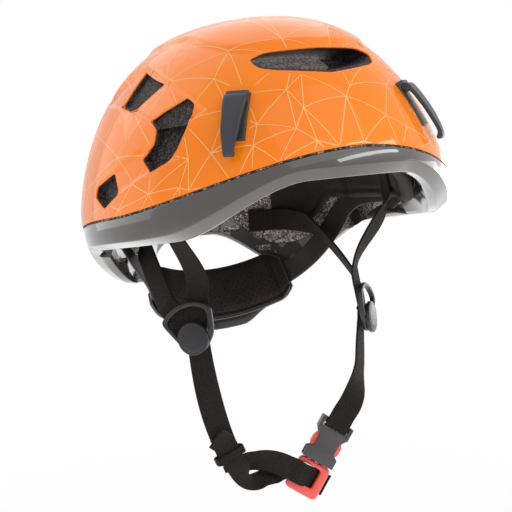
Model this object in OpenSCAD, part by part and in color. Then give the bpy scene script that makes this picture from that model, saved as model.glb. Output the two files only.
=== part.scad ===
// Climbing helmet: two moulded skins over a foam liner, headlamp clips, headband, webbing and chin buckle.
// Millimetres, +Z up. The wearer faces -Y and their left is +X.
// The origin is the middle of the head opening at the shell's widest level.

/* [Shell] */
// Half of the shell's width at its widest level
shell_half_w = 110; // [107:1:114]
// Length from the widest level forward to the brow
shell_front_l = 143; // [139:1:148]
// Length from the widest level back to the rear
shell_rear_l = 131; // [127:1:136]
// Height of the crown above the widest level
crown_h = 110; // [106:1:115]
// Thickness of both moulded skins
skin_t = 1.2; // [0.8:0.1:1.6]
// Gap between the two skins, where the foam shows
seam_gap = 0.8; // [0.4:0.1:1.2]
// Step by which the crown cap stands proud
cap_lift = 1.6; // [0.6:0.1:2.2]
// Depth of the foam under the outer skin
foam_t = 18.8; // [18:0.2:19.6]

/* [Rim] */
// Level of the rim at the brow
brow_rim_z = 3.5; // [1:0.5:6]
// Level of the rim at the temples
temple_rim_z = -21; // [-23:0.5:-19]
// Level of the rim at the lobes behind the ears
lobe_rim_z = -46; // [-48:0.5:-42]
// Level of the rim at the nape
nape_rim_z = -19; // [-22:0.5:-14]
// Level of the seam between the skins at the brow
brow_seam_z = 19.5; // [17:0.5:22]
// Height that the lower skin turns up inside the rim
turn_up_h = 16; // [14:0.5:18]

/* [Clips] */
// Width of a headlamp clip at its root
clip_w = 13; // [12:0.5:15]
// Thickness of the clip's arm
clip_arm_t = 2.5; // [2.2:0.1:2.8]

/* [Headband] */
// Thickness of the headband plastic
band_t = 1.4; // [1.2:0.1:1.8]
// Height of the headband
band_h = 16; // [14:1:18]
// Thickness of the fabric pad on the liner
wall_pad_t = 9; // [7:0.5:10]
// Thickness of the nape pad
nape_pad_t = 9; // [7:0.5:10]
// Height of the nape pad
nape_pad_h = 36; // [32:1:38]

/* [Straps] */
// Width of the webbing
webbing_w = 15; // [13:0.5:15.5]
// Thickness of the webbing
webbing_t = 1.4; // [1:0.1:1.5]
// Drop of the right strap divider below the head opening
right_divider_drop = 67; // [63:1:71]
// Drop of the left strap divider below the head opening
left_divider_drop = 70; // [66:1:74]
// Radius of the lock disc on a divider
disc_r = 10; // [9:0.5:11]

/* [Buckle] */
// Width of the buckle
buckle_w = 21; // [20.5:0.5:23]
// Thickness of the buckle's socket
buckle_t = 9; // [8.5:0.5:10]

/* [Hidden] */
$fn = 48;

// Powers that shape the wall and the crown
wall_power = 0.73;
crown_power = 1.3;
// Tuck of the wall below the widest level
skirt_l = 100;
skirt_tuck = 0.6;
// Grid of the moulded skins
turn = 6;
angles = [0:turn:359];
wall_rows = 9;
cap_rows = 6;
inner_rows = 8;
top_share = 0.985;
cap_ramp = 0.02;
// Full depth of the wall, the low point of the rim's slant and the rim's inner edge
wall_t = skin_t + foam_t;
rim_mid = 6;
rim_in = 13;
turn_t = 1.4;
// Levels round the helmet, each as an angle from the brow and a height
rim_levels = [[0, brow_rim_z], [16, brow_rim_z], [58, temple_rim_z], [104, temple_rim_z],
              [136, lobe_rim_z], [142, lobe_rim_z], [172, nape_rim_z], [180, nape_rim_z]];
seam_levels = [[0, brow_seam_z], [80, -3], [130, -7], [180, -1]];
// Height of the rim's crease above its lowest line
crease_levels = [[0, 6], [44, 6], [70, 3.6], [180, 3.6]];
cap_levels = [[0, crown_h - 30], [28, crown_h - 30], [66, crown_h - 13], [180, crown_h - 13]];
pad_low_levels = [[0, 10], [16, 10], [56, -12], [74, -8], [100, -5], [115, -2], [128, -18], [144, -9]];
pad_gap = 0.8;
pad_end = 144;
pad_half_h = 15;
// Vent outlines on the left, each corner an angle from the brow and a height
crown_vent = [[80, 83.2], [62.1, 70.4], [74.4, 57.3], [84.3, 63.2]];
temple_vent_top = [[50.8, 59.2], [47.9, 54.9], [49.1, 42.7], [60.6, 43.4], [64.2, 49.5], [59.8, 53.4]];
temple_vent_low = [[49.1, 42.7], [52.7, 28.6], [55.7, 23.3], [61.8, 18.9], [65.5, 27.8], [60.9, 34.9],
                   [60.6, 43.4]];
ear_vent = [[77.2, 23.5], [74.2, 10.1], [81.5, 2.9], [87.2, 11], [86.3, 17.4]];
rear_vent = [[112, 70], [128, 64], [134, 45], [118, 48.5]];
nape_vent = [[156, 73], [170, 75], [168, 56], [154, 54]];
brow_vent = [[-22, 78.8], [0, 79.4], [22, 78.8], [28.6, 75.4], [25.4, 69], [20, 66.6], [9.8, 64.1],
             [0, 62.1], [-9.8, 64.1], [-20, 66.6], [-25.4, 69], [-28.6, 75.4]];
pocket_depth = 6;
// Clip places: the lower end and the upper end, each an angle from the brow and a height
front_clip = [[35.7, 31], [33.5, 51]];
rear_clip = [[145, 31], [150, 51]];
clip_seat_w = 13;
clip_barrel_r = 2.6;
clip_barrel = [3, 12];
clip_fit = 0.08;
clip_window_gap = 0.2;
clip_seat_d = 4.2;
clip_seat_low = 12;
clip_seat_l = 29;
clip_cut_d = 12;
// Headband pivot, its stud and the pocket behind the pad
pivot_y = -10;
pivot_z = -3;
stud_r = 3;
stud_gap = 0.05;
stud_head_r = 6;
tab_r = 12;
tab_t = 1.8;
wall_half_w = shell_half_w - wall_t;
pocket_in = 9;
pocket_back = 16;
pocket_drop = 27;
pocket_l = 72;
pocket_h = 42;
tab_x = wall_half_w + 2.6;
band_nape = [0, shell_rear_l - 38, -62];
band_curve = [[tab_x, pivot_y + 6, pivot_z + 1], [tab_x - 6.5, pivot_y + 48, pivot_z - 27],
              [58, band_nape[1], band_nape[2]], band_nape];
band_steps = 14;
nape_from = 9/band_steps;
// Headband on the left, from its tab behind the pad and steeply down to the nape
band_spots = [band_curve[0], [tab_x - 1.6, pivot_y + 21, pivot_z + 1.2],
              [tab_x - 4.8, pivot_y + 36, pivot_z - 0.2], [tab_x - 9.8, pivot_y + 48.6, pivot_z - 7.4],
              [tab_x - 18.8, pivot_y + 55.5, pivot_z - 22], [tab_x - 31.1, pivot_y + 66.5, pivot_z - 37.5],
              bezier(band_curve, nape_from), bezier(band_curve, nape_from*7/6)];
cradle_drop = 6;
// Strap anchors on the liner, each an angle from the brow and a height
front_anchor = [72, 31];
rear_anchor = [151, -12.5];
anchor_t = 2.4;
anchor_gap = 1.4;
// Strap dividers, turned to face forward and outward
right_divider = [-63, -25, -right_divider_drop];
left_divider = [56, -25, -left_divider_drop];
divider_turn = 46;
divider_t = 2.4;
divider_outline = [[-20.4, -2.6], [-18.4, 1.2], [-10, 7.6], [1, 10.4], [10.8, 8], [13.4, 4.4], [13.4, -10],
                   [6.4, -21], [-6.6, -20.4]];
divider_middle = [-2, -5];
divider_rim = 0.18;
disc_at = [0.5, -12.5];
hub_r = 2.5;
hub_gap = 0.05;
layer_gap = 0.3;
// Buckle place, lean and turn
buckle_at = [6, -30, -166];
buckle_lean = 36;
buckle_turn = 20;
socket_l = 28;
socket_wall = 2.1;
plug_l = 21;
plug_t = 5;
prong_root = [5.2, -1.5];
prong_root_r = 1.5;
prong_gap = 0.05;
plug_fit = 0.4;
// Strap keeper near the chin
keeper_at = [-51.5, -30, -151.5];
keeper_lean = 20;
keeper_h = 7;
// Lowest point of the loose run and the tilt of both runs
tail_low = [-31, -24, -171.4];
run_tilt = [0, 0.9, 0.44];

function unit(v) = v/norm(v);
function mix(a, b, t) = a + (b - a)*t;
function limit(t) = max(0, min(1, t));
function ease(t) = t*t*(3 - 2*t);
function bezier(p, t) =
    pow(1 - t, 3)*p[0] + 3*t*pow(1 - t, 2)*p[1] + 3*t*t*(1 - t)*p[2] + t*t*t*p[3];
function flip(p) = [-p[0], p[1], p[2]];

// Height read from a list of levels, eased between the listed angles
function level(a, levels, i = 1) =
    a <= levels[i][0] || i == len(levels) - 1
        ? mix(levels[i - 1][1], levels[i][1],
              ease(limit((a - levels[i - 1][0])/(levels[i][0] - levels[i - 1][0]))))
        : level(a, levels, i + 1);
function from_brow(a) = abs(a > 180 ? a - 360 : a);
function rim_z(a) = level(from_brow(a), rim_levels);
function seam_z(a) = level(from_brow(a), seam_levels);
function crease_h(a) = level(from_brow(a), crease_levels);
function cap_z(a) = level(from_brow(a), cap_levels);
function pad_low_z(a) = level(from_brow(a), pad_low_levels);

// Points of the helmet's wall: a is the angle from the brow, in_by the depth below the outer face
function width_share(u) = u >= 0 ? pow(cos(90*u), wall_power) : 1 - skirt_tuck*u*u;
function height(u, top) = u >= 0 ? top*pow(sin(90*u), crown_power) : u*skirt_l;
function share(z, top) = z >= 0 ? asin(pow(z/top, 1/crown_power))/90 : z/skirt_l;
function skin_point(a, u, in_by) =
    let (half_l = (cos(a) > 0 ? shell_front_l : shell_rear_l) - in_by, r = width_share(u))
    [(shell_half_w - in_by)*r*sin(a), -half_l*r*cos(a), height(u, crown_h - in_by)];
function wall_point(a, z, in_by) = skin_point(a, share(z, crown_h - in_by), in_by);
function wall_across(a, z, in_by) = unit(wall_point(a + 1, z, in_by) - wall_point(a - 1, z, in_by));
function wall_up(a, z, in_by) = unit(wall_point(a, z + 1, in_by) - wall_point(a, z - 1, in_by));

// Rows of the upper skin from its seam to the crown: the share of the wall and the lift of the cap
function upper_rows(a) =
    let (low = share(seam_z(a) + seam_gap/2, crown_h), edge = share(cap_z(a), crown_h))
    concat([for (i = [0:wall_rows]) [mix(low, edge, i/wall_rows), 0]],
           [for (i = [0:cap_rows]) [mix(edge + cap_ramp, top_share, i/cap_rows), cap_lift]]);
upper_count = wall_rows + cap_rows + 2;
function upper_ring(k, in_by) =
    [for (a = angles) let (row = upper_rows(a)[k]) skin_point(a, row[0], in_by - row[1])];

// Section of the lower skin as depth and height: down the outside, round the rim and up the inside
function lower_section(a) =
    let (s = seam_z(a) - seam_gap/2, r = rim_z(a), c = r + crease_h(a), m = (s + c)/2)
    [[0, s], [0, m], [0, c], [0.5, c - 0.6], [rim_mid, r + 0.2], [rim_in - 2, r + 0.6],
     [rim_in, r + 2.5], [wall_t, r + turn_up_h], [wall_t - turn_t, r + turn_up_h],
     [rim_in - turn_t, r + 4.2], [rim_in - 2.8, r + 2.4], [rim_mid + 0.6, r + 1.6],
     [skin_t, c + 0.7], [skin_t, m], [skin_t, s]];
lower_count = 15;
turn_up_k = 8;
function lower_ring(k) = [for (a = angles) let (p = lower_section(a)[k]) wall_point(a, p[1], p[0])];

// Rows of the liner's inner face, from the lower skin's turned-up edge to the crown
function inner_ring(k) =
    [for (a = angles)
        let (low = share(rim_z(a) + turn_up_h + 0.3, crown_h - wall_t))
        skin_point(a, mix(low, top_share, k/inner_rows), wall_t)];

// Closed skin between two end points, with rings listed from the first point to the last
module capped_skin(first, rings, last, inner_from = 1000) {
    n = len(rings[0]);
    m = len(rings);
    polyhedron(
        points = concat([first], [for (r = rings) each r], [last]),
        faces = concat(
            [for (j = [0:n - 1]) [0, 1 + (j + 1)%n, 1 + j]],
            [for (i = [0:m - 2], j = [0:n - 1])
                each ring_pair(1 + i*n, 1 + (i + 1)*n, j, n, i >= inner_from)],
            [for (j = [0:n - 1]) [1 + (m - 1)*n + j, 1 + (m - 1)*n + (j + 1)%n, 1 + m*n]]));
}

// Closed skin round a hole, with rings listed round its section
module hoop_skin(rings) {
    n = len(rings[0]);
    m = len(rings);
    polyhedron(
        points = [for (r = rings) each r],
        faces = [for (i = [0:m - 1], j = [0:n - 1]) each ring_pair(i*n, ((i + 1)%m)*n, j, n, true)]);
}

// Two triangles between neighbouring rings, split along either diagonal so that touching skins match
function ring_pair(p, q, j, n, other = false) =
    let (k = (j + 1)%n)
    other ? [[p + j, p + k, q + j], [p + k, q + k, q + j]] : [[p + j, p + k, q + k], [p + j, q + k, q + j]];

// Closed skin along a path, with a cap on the first ring and the last
module swept_skin(rings) {
    n = len(rings[0]);
    m = len(rings);
    polyhedron(
        points = [for (r = rings) each r],
        faces = concat(
            [for (j = [1:n - 2]) [0, j, j + 1]],
            [for (i = [0:m - 2], j = [0:n - 1]) each ring_pair((i + 1)*n, i*n, j, n)],
            [for (j = [1:n - 2]) [(m - 1)*n, (m - 1)*n + j + 1, (m - 1)*n + j]]));
}

// Flat band along a path, its width along the across directions
module ribbon(path, across, width, thick) {
    last = len(path) - 1;
    swept_skin([for (i = [0:last])
        let (t = unit(path[min(i + 1, last)] - path[max(i - 1, 0)]),
             w = unit(across[i] - t*(across[i]*t))*width/2,
             d = cross(t, unit(w))*thick/2)
        [path[i] - w - d, path[i] + w - d, path[i] + w + d, path[i] - w + d]]);
}

// Section of a soft pad as a share of its depth and of half its height, round from the back's lower edge
pad_section = [[0, -0.93], [0.3, -1], [0.72, -0.93], [0.94, -0.72], [1, -0.35],
               [1, 0.35], [0.94, 0.72], [0.72, 0.93], [0.3, 1], [0, 0.93]];
// Swell of a pad near an end, by the number of steps from that end
function swell(i) = i == 0 ? 0.45 : i == 1 ? 0.85 : 1;
function narrow(i) = i == 0 ? 0.86 : i == 1 ? 0.97 : 1;

// Place a shape by its width, outward and upward directions
module on_frame(at, w, n, t) {
    multmatrix([[w[0], n[0], t[0], at[0]], [w[1], n[1], t[1], at[1]], [w[2], n[2], t[2], at[2]]]) children();
}

// Opening through the wall, narrowing by a share towards its inner end
module vent_cut(corners, from, to, shrink, rise = 0) {
    middle = [for (k = [0:1]) sum_of([for (c = corners) c[k]])/len(corners)];
    n = len(corners);
    hull() {
        polyhedron(
            points = concat(
                [for (c = corners) wall_point(c[0], c[1], from)],
                [for (c = corners)
                    wall_point(mix(c[0], middle[0], shrink), mix(c[1], middle[1], shrink) + rise, to)]),
            faces = concat(
                [[for (j = [n - 1:-1:0]) j]],
                [[for (j = [0:n - 1]) n + j]],
                [for (j = [0:n - 1]) [j, (j + 1)%n, n + (j + 1)%n, n + j]]));
    }
}

function sum_of(list, i = 0) = i == len(list) ? 0 : list[i] + sum_of(list, i + 1);
function mirrored(corners) = [for (i = [len(corners) - 1:-1:0]) [-corners[i][0], corners[i][1]]];

side_vents = [crown_vent, temple_vent_top, temple_vent_low, ear_vent, rear_vent, nape_vent];

// Front normal and up direction of a clip on the left of the shell
function clip_mid(c) = wall_point((c[0][0] + c[1][0])/2, (c[0][1] + c[1][1])/2, 0);
function clip_up(c) = unit(wall_point(c[1][0], c[1][1], 0) - wall_point(c[0][0], c[0][1], 0));
function clip_out(c) =
    let (a = (c[0][0] + c[1][0])/2, z = (c[0][1] + c[1][1])/2, t = clip_up(c),
         n = cross(wall_across(a, z, 0), wall_up(a, z, 0)))
    unit(n - t*(n*t));

module on_clip(c) {
    on_frame(clip_mid(c), cross(clip_out(c), clip_up(c)), clip_out(c), clip_up(c)) children();
}

// Window in the shell that a clip's base is set in
module clip_window(c) {
    on_clip(c)
        translate([-clip_seat_w/2 - clip_window_gap, -clip_seat_d, -clip_seat_low - clip_window_gap])
            cube([clip_seat_w + 2*clip_window_gap, clip_cut_d, clip_seat_l + 2*clip_window_gap]);
}

// Pocket in the liner for a headband tab, on the left
module tab_pocket() {
    hull() {
        translate([wall_half_w - pocket_in, pivot_y - pocket_back, pivot_z - pocket_drop])
            cube([tab_x + tab_t - wall_half_w + pocket_in, pocket_l, pocket_h]);
    }
}

module outer_shell() {
    color([0.96, 0.45, 0.1])
        difference() {
            capped_skin(
                [0, 0, crown_h + cap_lift],
                concat([for (k = [upper_count - 1:-1:0]) upper_ring(k, 0)],
                       [for (k = [0:upper_count - 1]) upper_ring(k, skin_t)]),
                [0, 0, crown_h + cap_lift - skin_t], upper_count);
            vent_cut(brow_vent, -8, 6, 0);
            for (v = side_vents) {
                vent_cut(v, -5, 5, 0);
                vent_cut(mirrored(v), -5, 5, 0);
            }
            for (c = [front_clip, rear_clip]) {
                clip_window(c);
                mirror([1, 0, 0]) clip_window(c);
            }
        }
}

module lower_shell() {
    color([0.5, 0.48, 0.47])
        difference() {
            hoop_skin([for (k = [0:lower_count - 1]) lower_ring(k)]);
            tab_pocket();
            mirror([1, 0, 0]) tab_pocket();
            for (a = [124, 150, 163]) {
                rim_slot(a);
                mirror([1, 0, 0]) rim_slot(a);
            }
        }
}

// Slot through the lower skin's turned-up edge
module rim_slot(a) {
    low = rim_z(a) + 7;
    corners = [[a - 3.5, low], [a + 3.5, low], [a + 3.5, low + 4], [a - 3.5, low + 4]];
    vent_cut(corners, wall_t + 6, wall_t - 9, 0);
}

module foam_liner() {
    color([0.3, 0.28, 0.28])
        difference() {
            capped_skin(
                [0, 0, crown_h + cap_lift - skin_t],
                concat([for (k = [upper_count - 1:-1:0]) upper_ring(k, skin_t)],
                       [for (k = [lower_count - 1:-1:turn_up_k]) lower_ring(k)],
                       [for (k = [0:inner_rows]) inner_ring(k)]),
                [0, 0, crown_h - wall_t]);
            vent_cut(brow_vent, -8, wall_t + 9, 0.12, 4);
            for (v = side_vents) {
                vent_cut(v, -1, pocket_depth, 0.22);
                vent_cut(mirrored(v), -1, pocket_depth, 0.22);
            }
            for (c = [front_clip, rear_clip]) {
                clip_window(c);
                mirror([1, 0, 0]) clip_window(c);
            }
            tab_pocket();
            mirror([1, 0, 0]) tab_pocket();
            for (s = [-1, 1]) {
                translate([s*(tab_x + 6), pivot_y, pivot_z])
                    rotate([0, 90, 0])
                        cylinder(h = 14, r = stud_r + 0.2, center = true, $fn = 24);
            }
        }
}

// Base of a headlamp clip, set in its window with a seat for the arm's barrel
module clip_base(c) {
    on_clip(c)
        difference() {
            union() {
                translate([-clip_seat_w/2, -4, -12]) cube([clip_seat_w, 6.2, 23]);
                translate([-clip_seat_w/2, -4, 7]) cube([clip_seat_w, 7, 10]);
            }
            translate([0, clip_barrel[0], clip_barrel[1]])
                rotate([0, 90, 0])
                    cylinder(h = clip_w + 4, r = clip_barrel_r + clip_fit, center = true);
            translate([-clip_w, clip_barrel[0] - clip_barrel_r - clip_fit, -14])
                cube([2*clip_w, 8, clip_barrel[1] + 14]);
        }
}

// Spring arm of a headlamp clip, with its hook at the lower end
module clip_arm(c) {
    y = clip_barrel[0];
    z = clip_barrel[1];
    t = clip_arm_t;
    on_clip(c)
        intersection() {
            union() {
                translate([0, y, z])
                    rotate([0, 90, 0])
                        cylinder(h = clip_w, r = clip_barrel_r, center = true);
                translate([-clip_w/2, 0, 0])
                    rotate([90, 0, 90])
                        linear_extrude(clip_w)
                            polygon([[y, z + 2.5], [y + 2.5, z], [7, 3], [7.6, -8], [6.9, -20], [4.9, -23.6],
                                     [1.8, -22.4], [2.2, -20.2], [6.7 - t, -19.6], [7.6 - t, -8],
                                     [7 - t, 3], [y, z - 2.5]]);
            }
            translate([0, 12, 0])
                rotate([90, 0, 0])
                    linear_extrude(14)
                        polygon([[-clip_w/2, 18], [-clip_w/2, 6], [-clip_w*0.42, -5], [-3, -24],
                                 [3, -24], [clip_w*0.42, -5], [clip_w/2, 6], [clip_w/2, 18]]);
        }
}

module front_clip_bases() {
    color([0.22, 0.21, 0.22]) {
        clip_base(front_clip);
        mirror([1, 0, 0]) clip_base(front_clip);
    }
}

module rear_clip_bases() {
    color([0.22, 0.21, 0.22]) {
        clip_base(rear_clip);
        mirror([1, 0, 0]) clip_base(rear_clip);
    }
}

module front_left_clip() {
    color([0.34, 0.33, 0.36]) clip_arm(front_clip);
}

module front_right_clip() {
    color([0.34, 0.33, 0.36]) mirror([1, 0, 0]) clip_arm(front_clip);
}

module rear_left_clip() {
    color([0.34, 0.33, 0.36]) clip_arm(rear_clip);
}

module rear_right_clip() {
    color([0.34, 0.33, 0.36]) mirror([1, 0, 0]) clip_arm(rear_clip);
}

// Fabric pad that lines the brow and both sides of the liner, thinner behind the ears
function pad_thick(a) = wall_pad_t*(1 - 0.45*ease(limit((from_brow(a) - 100)/22)));
module wall_pad() {
    steps = 2*pad_end/turn;
    color([0.12, 0.1, 0.1])
        swept_skin([for (i = [0:steps])
            let (a = -pad_end + i*turn, e = min(i, steps - i), mid = pad_low_z(a) + pad_half_h)
            [for (p = pad_section)
                wall_point(a, mid + p[1]*pad_half_h*narrow(e),
                           wall_t + pad_gap + p[0]*pad_thick(a)*swell(e))]]);
}

// Points round the headband from the left tab to the right tab
function curve_through(p, u) =
    let (i = max(0, min(floor(u), len(p) - 3)), f = u - i,
         a = p[max(i - 1, 0)], b = p[i], c = p[i + 1], d = p[i + 2])
    (2*b + (c - a)*f + (2*a - 5*b + 4*c - d)*f*f + (3*b - a - 3*c + d)*f*f*f)/2;
function side_point(s) = s < nape_from ? curve_through(band_spots, s/nape_from*6) : bezier(band_curve, s);
function band_point(s) = s <= 1 ? side_point(s) : flip(side_point(2 - s));
function band_up(s) = let (k = s <= 1 ? s : 2 - s) unit([0, mix(0.55, 0.25, k), mix(0.83, 0.97, k)]);
function band_along(s) = unit(band_point(s + 0.01) - band_point(s - 0.01));
function band_wide(s) = let (t = band_along(s)) unit(band_up(s) - t*(band_up(s)*t));
function band_in(s) = cross(band_wide(s), band_along(s));
nape_steps = 10;
function nape_at(i) = 1 + (i - nape_steps/2)/band_steps;

// One-piece plastic headband that hangs from the two studs
module headband() {
    count = 4*band_steps;
    color([0.1, 0.1, 0.11])
        difference() {
            union() {
                ribbon([for (i = [0:count]) band_point(2*i/count)],
                       [for (i = [0:count]) band_up(2*i/count)], band_h, band_t);
                for (s = [-1, 1]) {
                    translate([s*tab_x, pivot_y, pivot_z])
                        rotate([0, 90, 0])
                            cylinder(h = tab_t, r = tab_r, center = true);
                }
            }
            for (s = [-1, 1]) {
                translate([s*tab_x, pivot_y, pivot_z])
                    rotate([0, 90, 0])
                        cylinder(h = 12, r = stud_r + stud_gap, center = true);
            }
        }
}

// Studs that fasten the headband to the liner
module temple_studs() {
    color([0.15, 0.15, 0.16])
        for (s = [-1, 1]) {
            translate([s*tab_x, pivot_y, pivot_z])
                rotate([0, s*90, 0])
                    union() {
                        translate([0, 0, -tab_t/2 - 1.5]) cylinder(h = 1.3, r = stud_head_r);
                        translate([0, 0, -tab_t/2 - 0.3]) cylinder(h = 12, r = stud_r);
                    }
        }
}

// Outer plastic support behind the nape pad, reaching below it
module nape_cradle() {
    color([0.4, 0.39, 0.41])
        ribbon([for (i = [0:nape_steps]) let (s = nape_at(i))
                    band_point(s) - band_in(s)*(band_t/2 + 1.7) - band_wide(s)*cradle_drop],
               [for (i = [0:nape_steps]) band_wide(nape_at(i))], nape_pad_h, 2);
}

// Padded cushion on the inside of the headband at the nape
module nape_pad() {
    color([0.12, 0.1, 0.1])
        swept_skin([for (i = [0:nape_steps])
            let (s = nape_at(i), e = min(i, nape_steps - i))
            [for (p = pad_section)
                band_point(s) + band_in(s)*(band_t/2 + 0.7 + p[0]*nape_pad_t*swell(e))
                    + band_wide(s)*p[1]*nape_pad_h/2*narrow(e)]]);
}

// Plates that hold the strap ends to the liner
module anchor_plate(a, z, w, h) {
    u = wall_across(a, z, wall_t);
    v = wall_up(a, z, wall_t);
    n = unit(cross(u, v));
    on_frame(wall_point(a, z, wall_t) - n*anchor_gap, u, n, cross(u, n))
        translate([-w/2, -anchor_t, -h/2])
            cube([w, anchor_t, h]);
}

module strap_anchors() {
    color([0.2, 0.2, 0.21])
        for (s = [-1, 1]) {
            anchor_plate(s*front_anchor[0], front_anchor[1], webbing_w + 5, 12);
            anchor_plate(s*rear_anchor[0], rear_anchor[1], 12, webbing_w + 2);
        }
}

// Point given in a divider's own directions: across, inward and up
function at_divider(c, p) =
    let (co = cos(divider_turn), si = sin(divider_turn))
    c + [p[0]*co + p[1]*si, p[1]*co - p[0]*si, p[2]];
function divider_way(p) = at_divider([0, 0, 0], p);
strap_in = divider_t/2 + layer_gap + webbing_t/2;
strap_off = wall_t + anchor_gap + anchor_t + 0.3 + webbing_t/2;
over_pad = wall_t + pad_gap + wall_pad_t + 0.6 + webbing_t/2;

// Front strap on the right: over the pad and down to the divider at c
module front_strap(c) {
    a = -front_anchor[0];
    z = front_anchor[1];
    low = pad_low_z(a);
    hung = [wall_point(a, z + 5, strap_off), wall_point(a, z - 4, strap_off + 1),
            wall_point(a, low + 2*pad_half_h, over_pad - 2), wall_point(a, low + 1.7*pad_half_h, over_pad),
            wall_point(a, low + 0.7*pad_half_h, over_pad + 0.4), wall_point(a, low + 2, over_pad + 0.4)];
    foot = [at_divider(c, [4, strap_in + 1.2, 15]), at_divider(c, [0.5, strap_in, -6])];
    curve = [hung[5], hung[5] + unit(hung[5] - hung[4])*16, foot[0] + unit(foot[0] - foot[1])*18, foot[0]];
    path = concat(hung, [for (i = [1:8]) bezier(curve, i/8)], [foot[1]]);
    last = len(path) - 1;
    ribbon(path, [for (i = [0:last]) let (k = ease(limit((i - 5)/8)))
                     mix(wall_across(a, 0, wall_t), divider_way([1, 0, -0.2]), k)], webbing_w, webbing_t);
}

// Rear strap on the right: forward along the liner and down to the divider at c
module rear_strap(c) {
    a = -rear_anchor[0];
    z = rear_anchor[1];
    y_in = strap_in + webbing_t + 2*layer_gap;
    head = [wall_point(a - 4, z, strap_off), wall_point(a + 4, z - 0.3, strap_off + 0.4),
            wall_point(a + 13, z - 1, strap_off + 3.2), wall_point(a + 25, z - 5, strap_off + 8.6)];
    foot = [at_divider(c, [-17, y_in + 2.6, 9]), at_divider(c, [-5, y_in, -1])];
    curve = [head[3], head[3] + unit(head[3] - head[2])*14, foot[0] + unit(foot[0] - foot[1])*5, foot[0]];
    path = concat(head, [for (i = [1:8]) bezier(curve, i/8)], [foot[1]]);
    last = len(path) - 1;
    ribbon(path, [for (i = [0:last])
                     mix(wall_up(a, z, wall_t), divider_way([0.65, 0, 0.76]), ease(limit((i - 1)/4.5)))],
           webbing_w, webbing_t);
}

module right_front_strap() {
    color([0.13, 0.11, 0.11]) front_strap(right_divider);
}

module left_front_strap() {
    color([0.13, 0.11, 0.11]) mirror([1, 0, 0]) front_strap(flip(left_divider));
}

module right_rear_strap() {
    color([0.13, 0.11, 0.11]) rear_strap(right_divider);
}

module left_rear_strap() {
    color([0.13, 0.11, 0.11]) mirror([1, 0, 0]) rear_strap(flip(left_divider));
}

module on_divider(c) {
    translate(c) rotate([0, 0, -divider_turn]) children();
}

// Frame that both straps pass behind, with a seat for the lock disc
module divider_frame(c) {
    on_divider(c)
        rotate([90, 0, 0])
            difference() {
                union() {
                    translate([0, 0, -divider_t/2])
                        linear_extrude(divider_t)
                            difference() {
                                polygon(divider_outline);
                                polygon([for (p = divider_outline) mix(p, divider_middle, divider_rim)]);
                            }
                    translate([disc_at[0], disc_at[1], -divider_t/2])
                        cylinder(h = divider_t, r = disc_r - 1.2);
                }
                translate([disc_at[0], disc_at[1], -divider_t])
                    cylinder(h = 2*divider_t, r = hub_r + hub_gap);
            }
}

// Round lock disc on the front of a divider, with a grip bar across its face
module lock_disc(c) {
    on_divider(c)
        translate([disc_at[0], -divider_t/2 - layer_gap, disc_at[1]])
            rotate([90, 0, 0])
                difference() {
                    union() {
                        cylinder(h = 2.6, r = disc_r);
                        translate([0, 0, 2.6]) cylinder(h = 0.8, r1 = disc_r, r2 = disc_r - 0.9);
                        translate([0, 0, -divider_t - layer_gap]) cylinder(h = divider_t + 1, r = hub_r);
                    }
                    translate([-0.6, -disc_r, 3]) cube([1.2, 2.2, 2]);
                }
}

module right_divider() {
    color([0.26, 0.26, 0.28]) divider_frame(right_divider);
}

module left_divider() {
    color([0.26, 0.26, 0.28]) mirror([1, 0, 0]) divider_frame(flip(left_divider));
}

module right_lock_disc() {
    color([0.3, 0.3, 0.32]) lock_disc(right_divider);
}

module left_lock_disc() {
    color([0.3, 0.3, 0.32]) mirror([1, 0, 0]) lock_disc(flip(left_divider));
}

// Directions and points of the buckle: across, through and up towards its socket
function buckle_way(p) =
    let (x = p[0]*cos(buckle_lean) + p[2]*sin(buckle_lean),
         z = p[2]*cos(buckle_lean) - p[0]*sin(buckle_lean))
    [x*cos(buckle_turn) + p[1]*sin(buckle_turn), p[1]*cos(buckle_turn) - x*sin(buckle_turn), z];
function at_buckle(p) = buckle_at + buckle_way(p);

module on_buckle() {
    translate(buckle_at) rotate([0, buckle_lean, -buckle_turn]) children();
}

keeper_way = [sin(keeper_lean), 0, -cos(keeper_lean)];
keeper_across = [cos(keeper_lean), 0, sin(keeper_lean)];
chin_t = 2*webbing_t;
keeper_end = keeper_h/2 + 0.5;
plug_mid = -plug_l/2 - 0.4;
plug_front = -plug_t/2 - layer_gap - webbing_t/2;
chin_in = strap_in + webbing_t/2 + layer_gap/2;

// Doubled webbing from the right divider to the keeper
module right_chin_strap() {
    top = at_divider(right_divider, [0.5, chin_in, -9]);
    curve = [top, top + [1, 0, -30], keeper_at - keeper_way*26, keeper_at + keeper_way*keeper_end];
    color([0.13, 0.11, 0.11])
        ribbon([for (i = [0:10]) bezier(curve, i/10)],
               [for (i = [0:10]) mix(divider_way([1, 0, 0]), keeper_across, ease(i/10))], webbing_w, chin_t);
}

// Webbing from the left divider into the socket's slot
module left_chin_strap() {
    top = flip(at_divider(flip(left_divider), [0.5, chin_in, -9]));
    side = flip(divider_way([-1, 0, 0]));
    front = -socket_bar_t/2 - layer_gap - webbing_t/2;
    foot = [at_buckle([0, front, socket_l + 6]), at_buckle([0, front, socket_l - 4]),
            at_buckle([0, -1, socket_l - 5])];
    curve = [top, top + [-1, 0, -26], foot[0] + buckle_way([0, 0, 20]), foot[0]];
    path = concat([for (i = [0:10]) bezier(curve, i/10)], [foot[1], foot[2]]);
    color([0.13, 0.11, 0.11])
        ribbon(path, [for (i = [0:12]) mix(side, buckle_way([1, 0, 0]), ease(limit(i/10)))],
               webbing_w, webbing_t);
}

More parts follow.
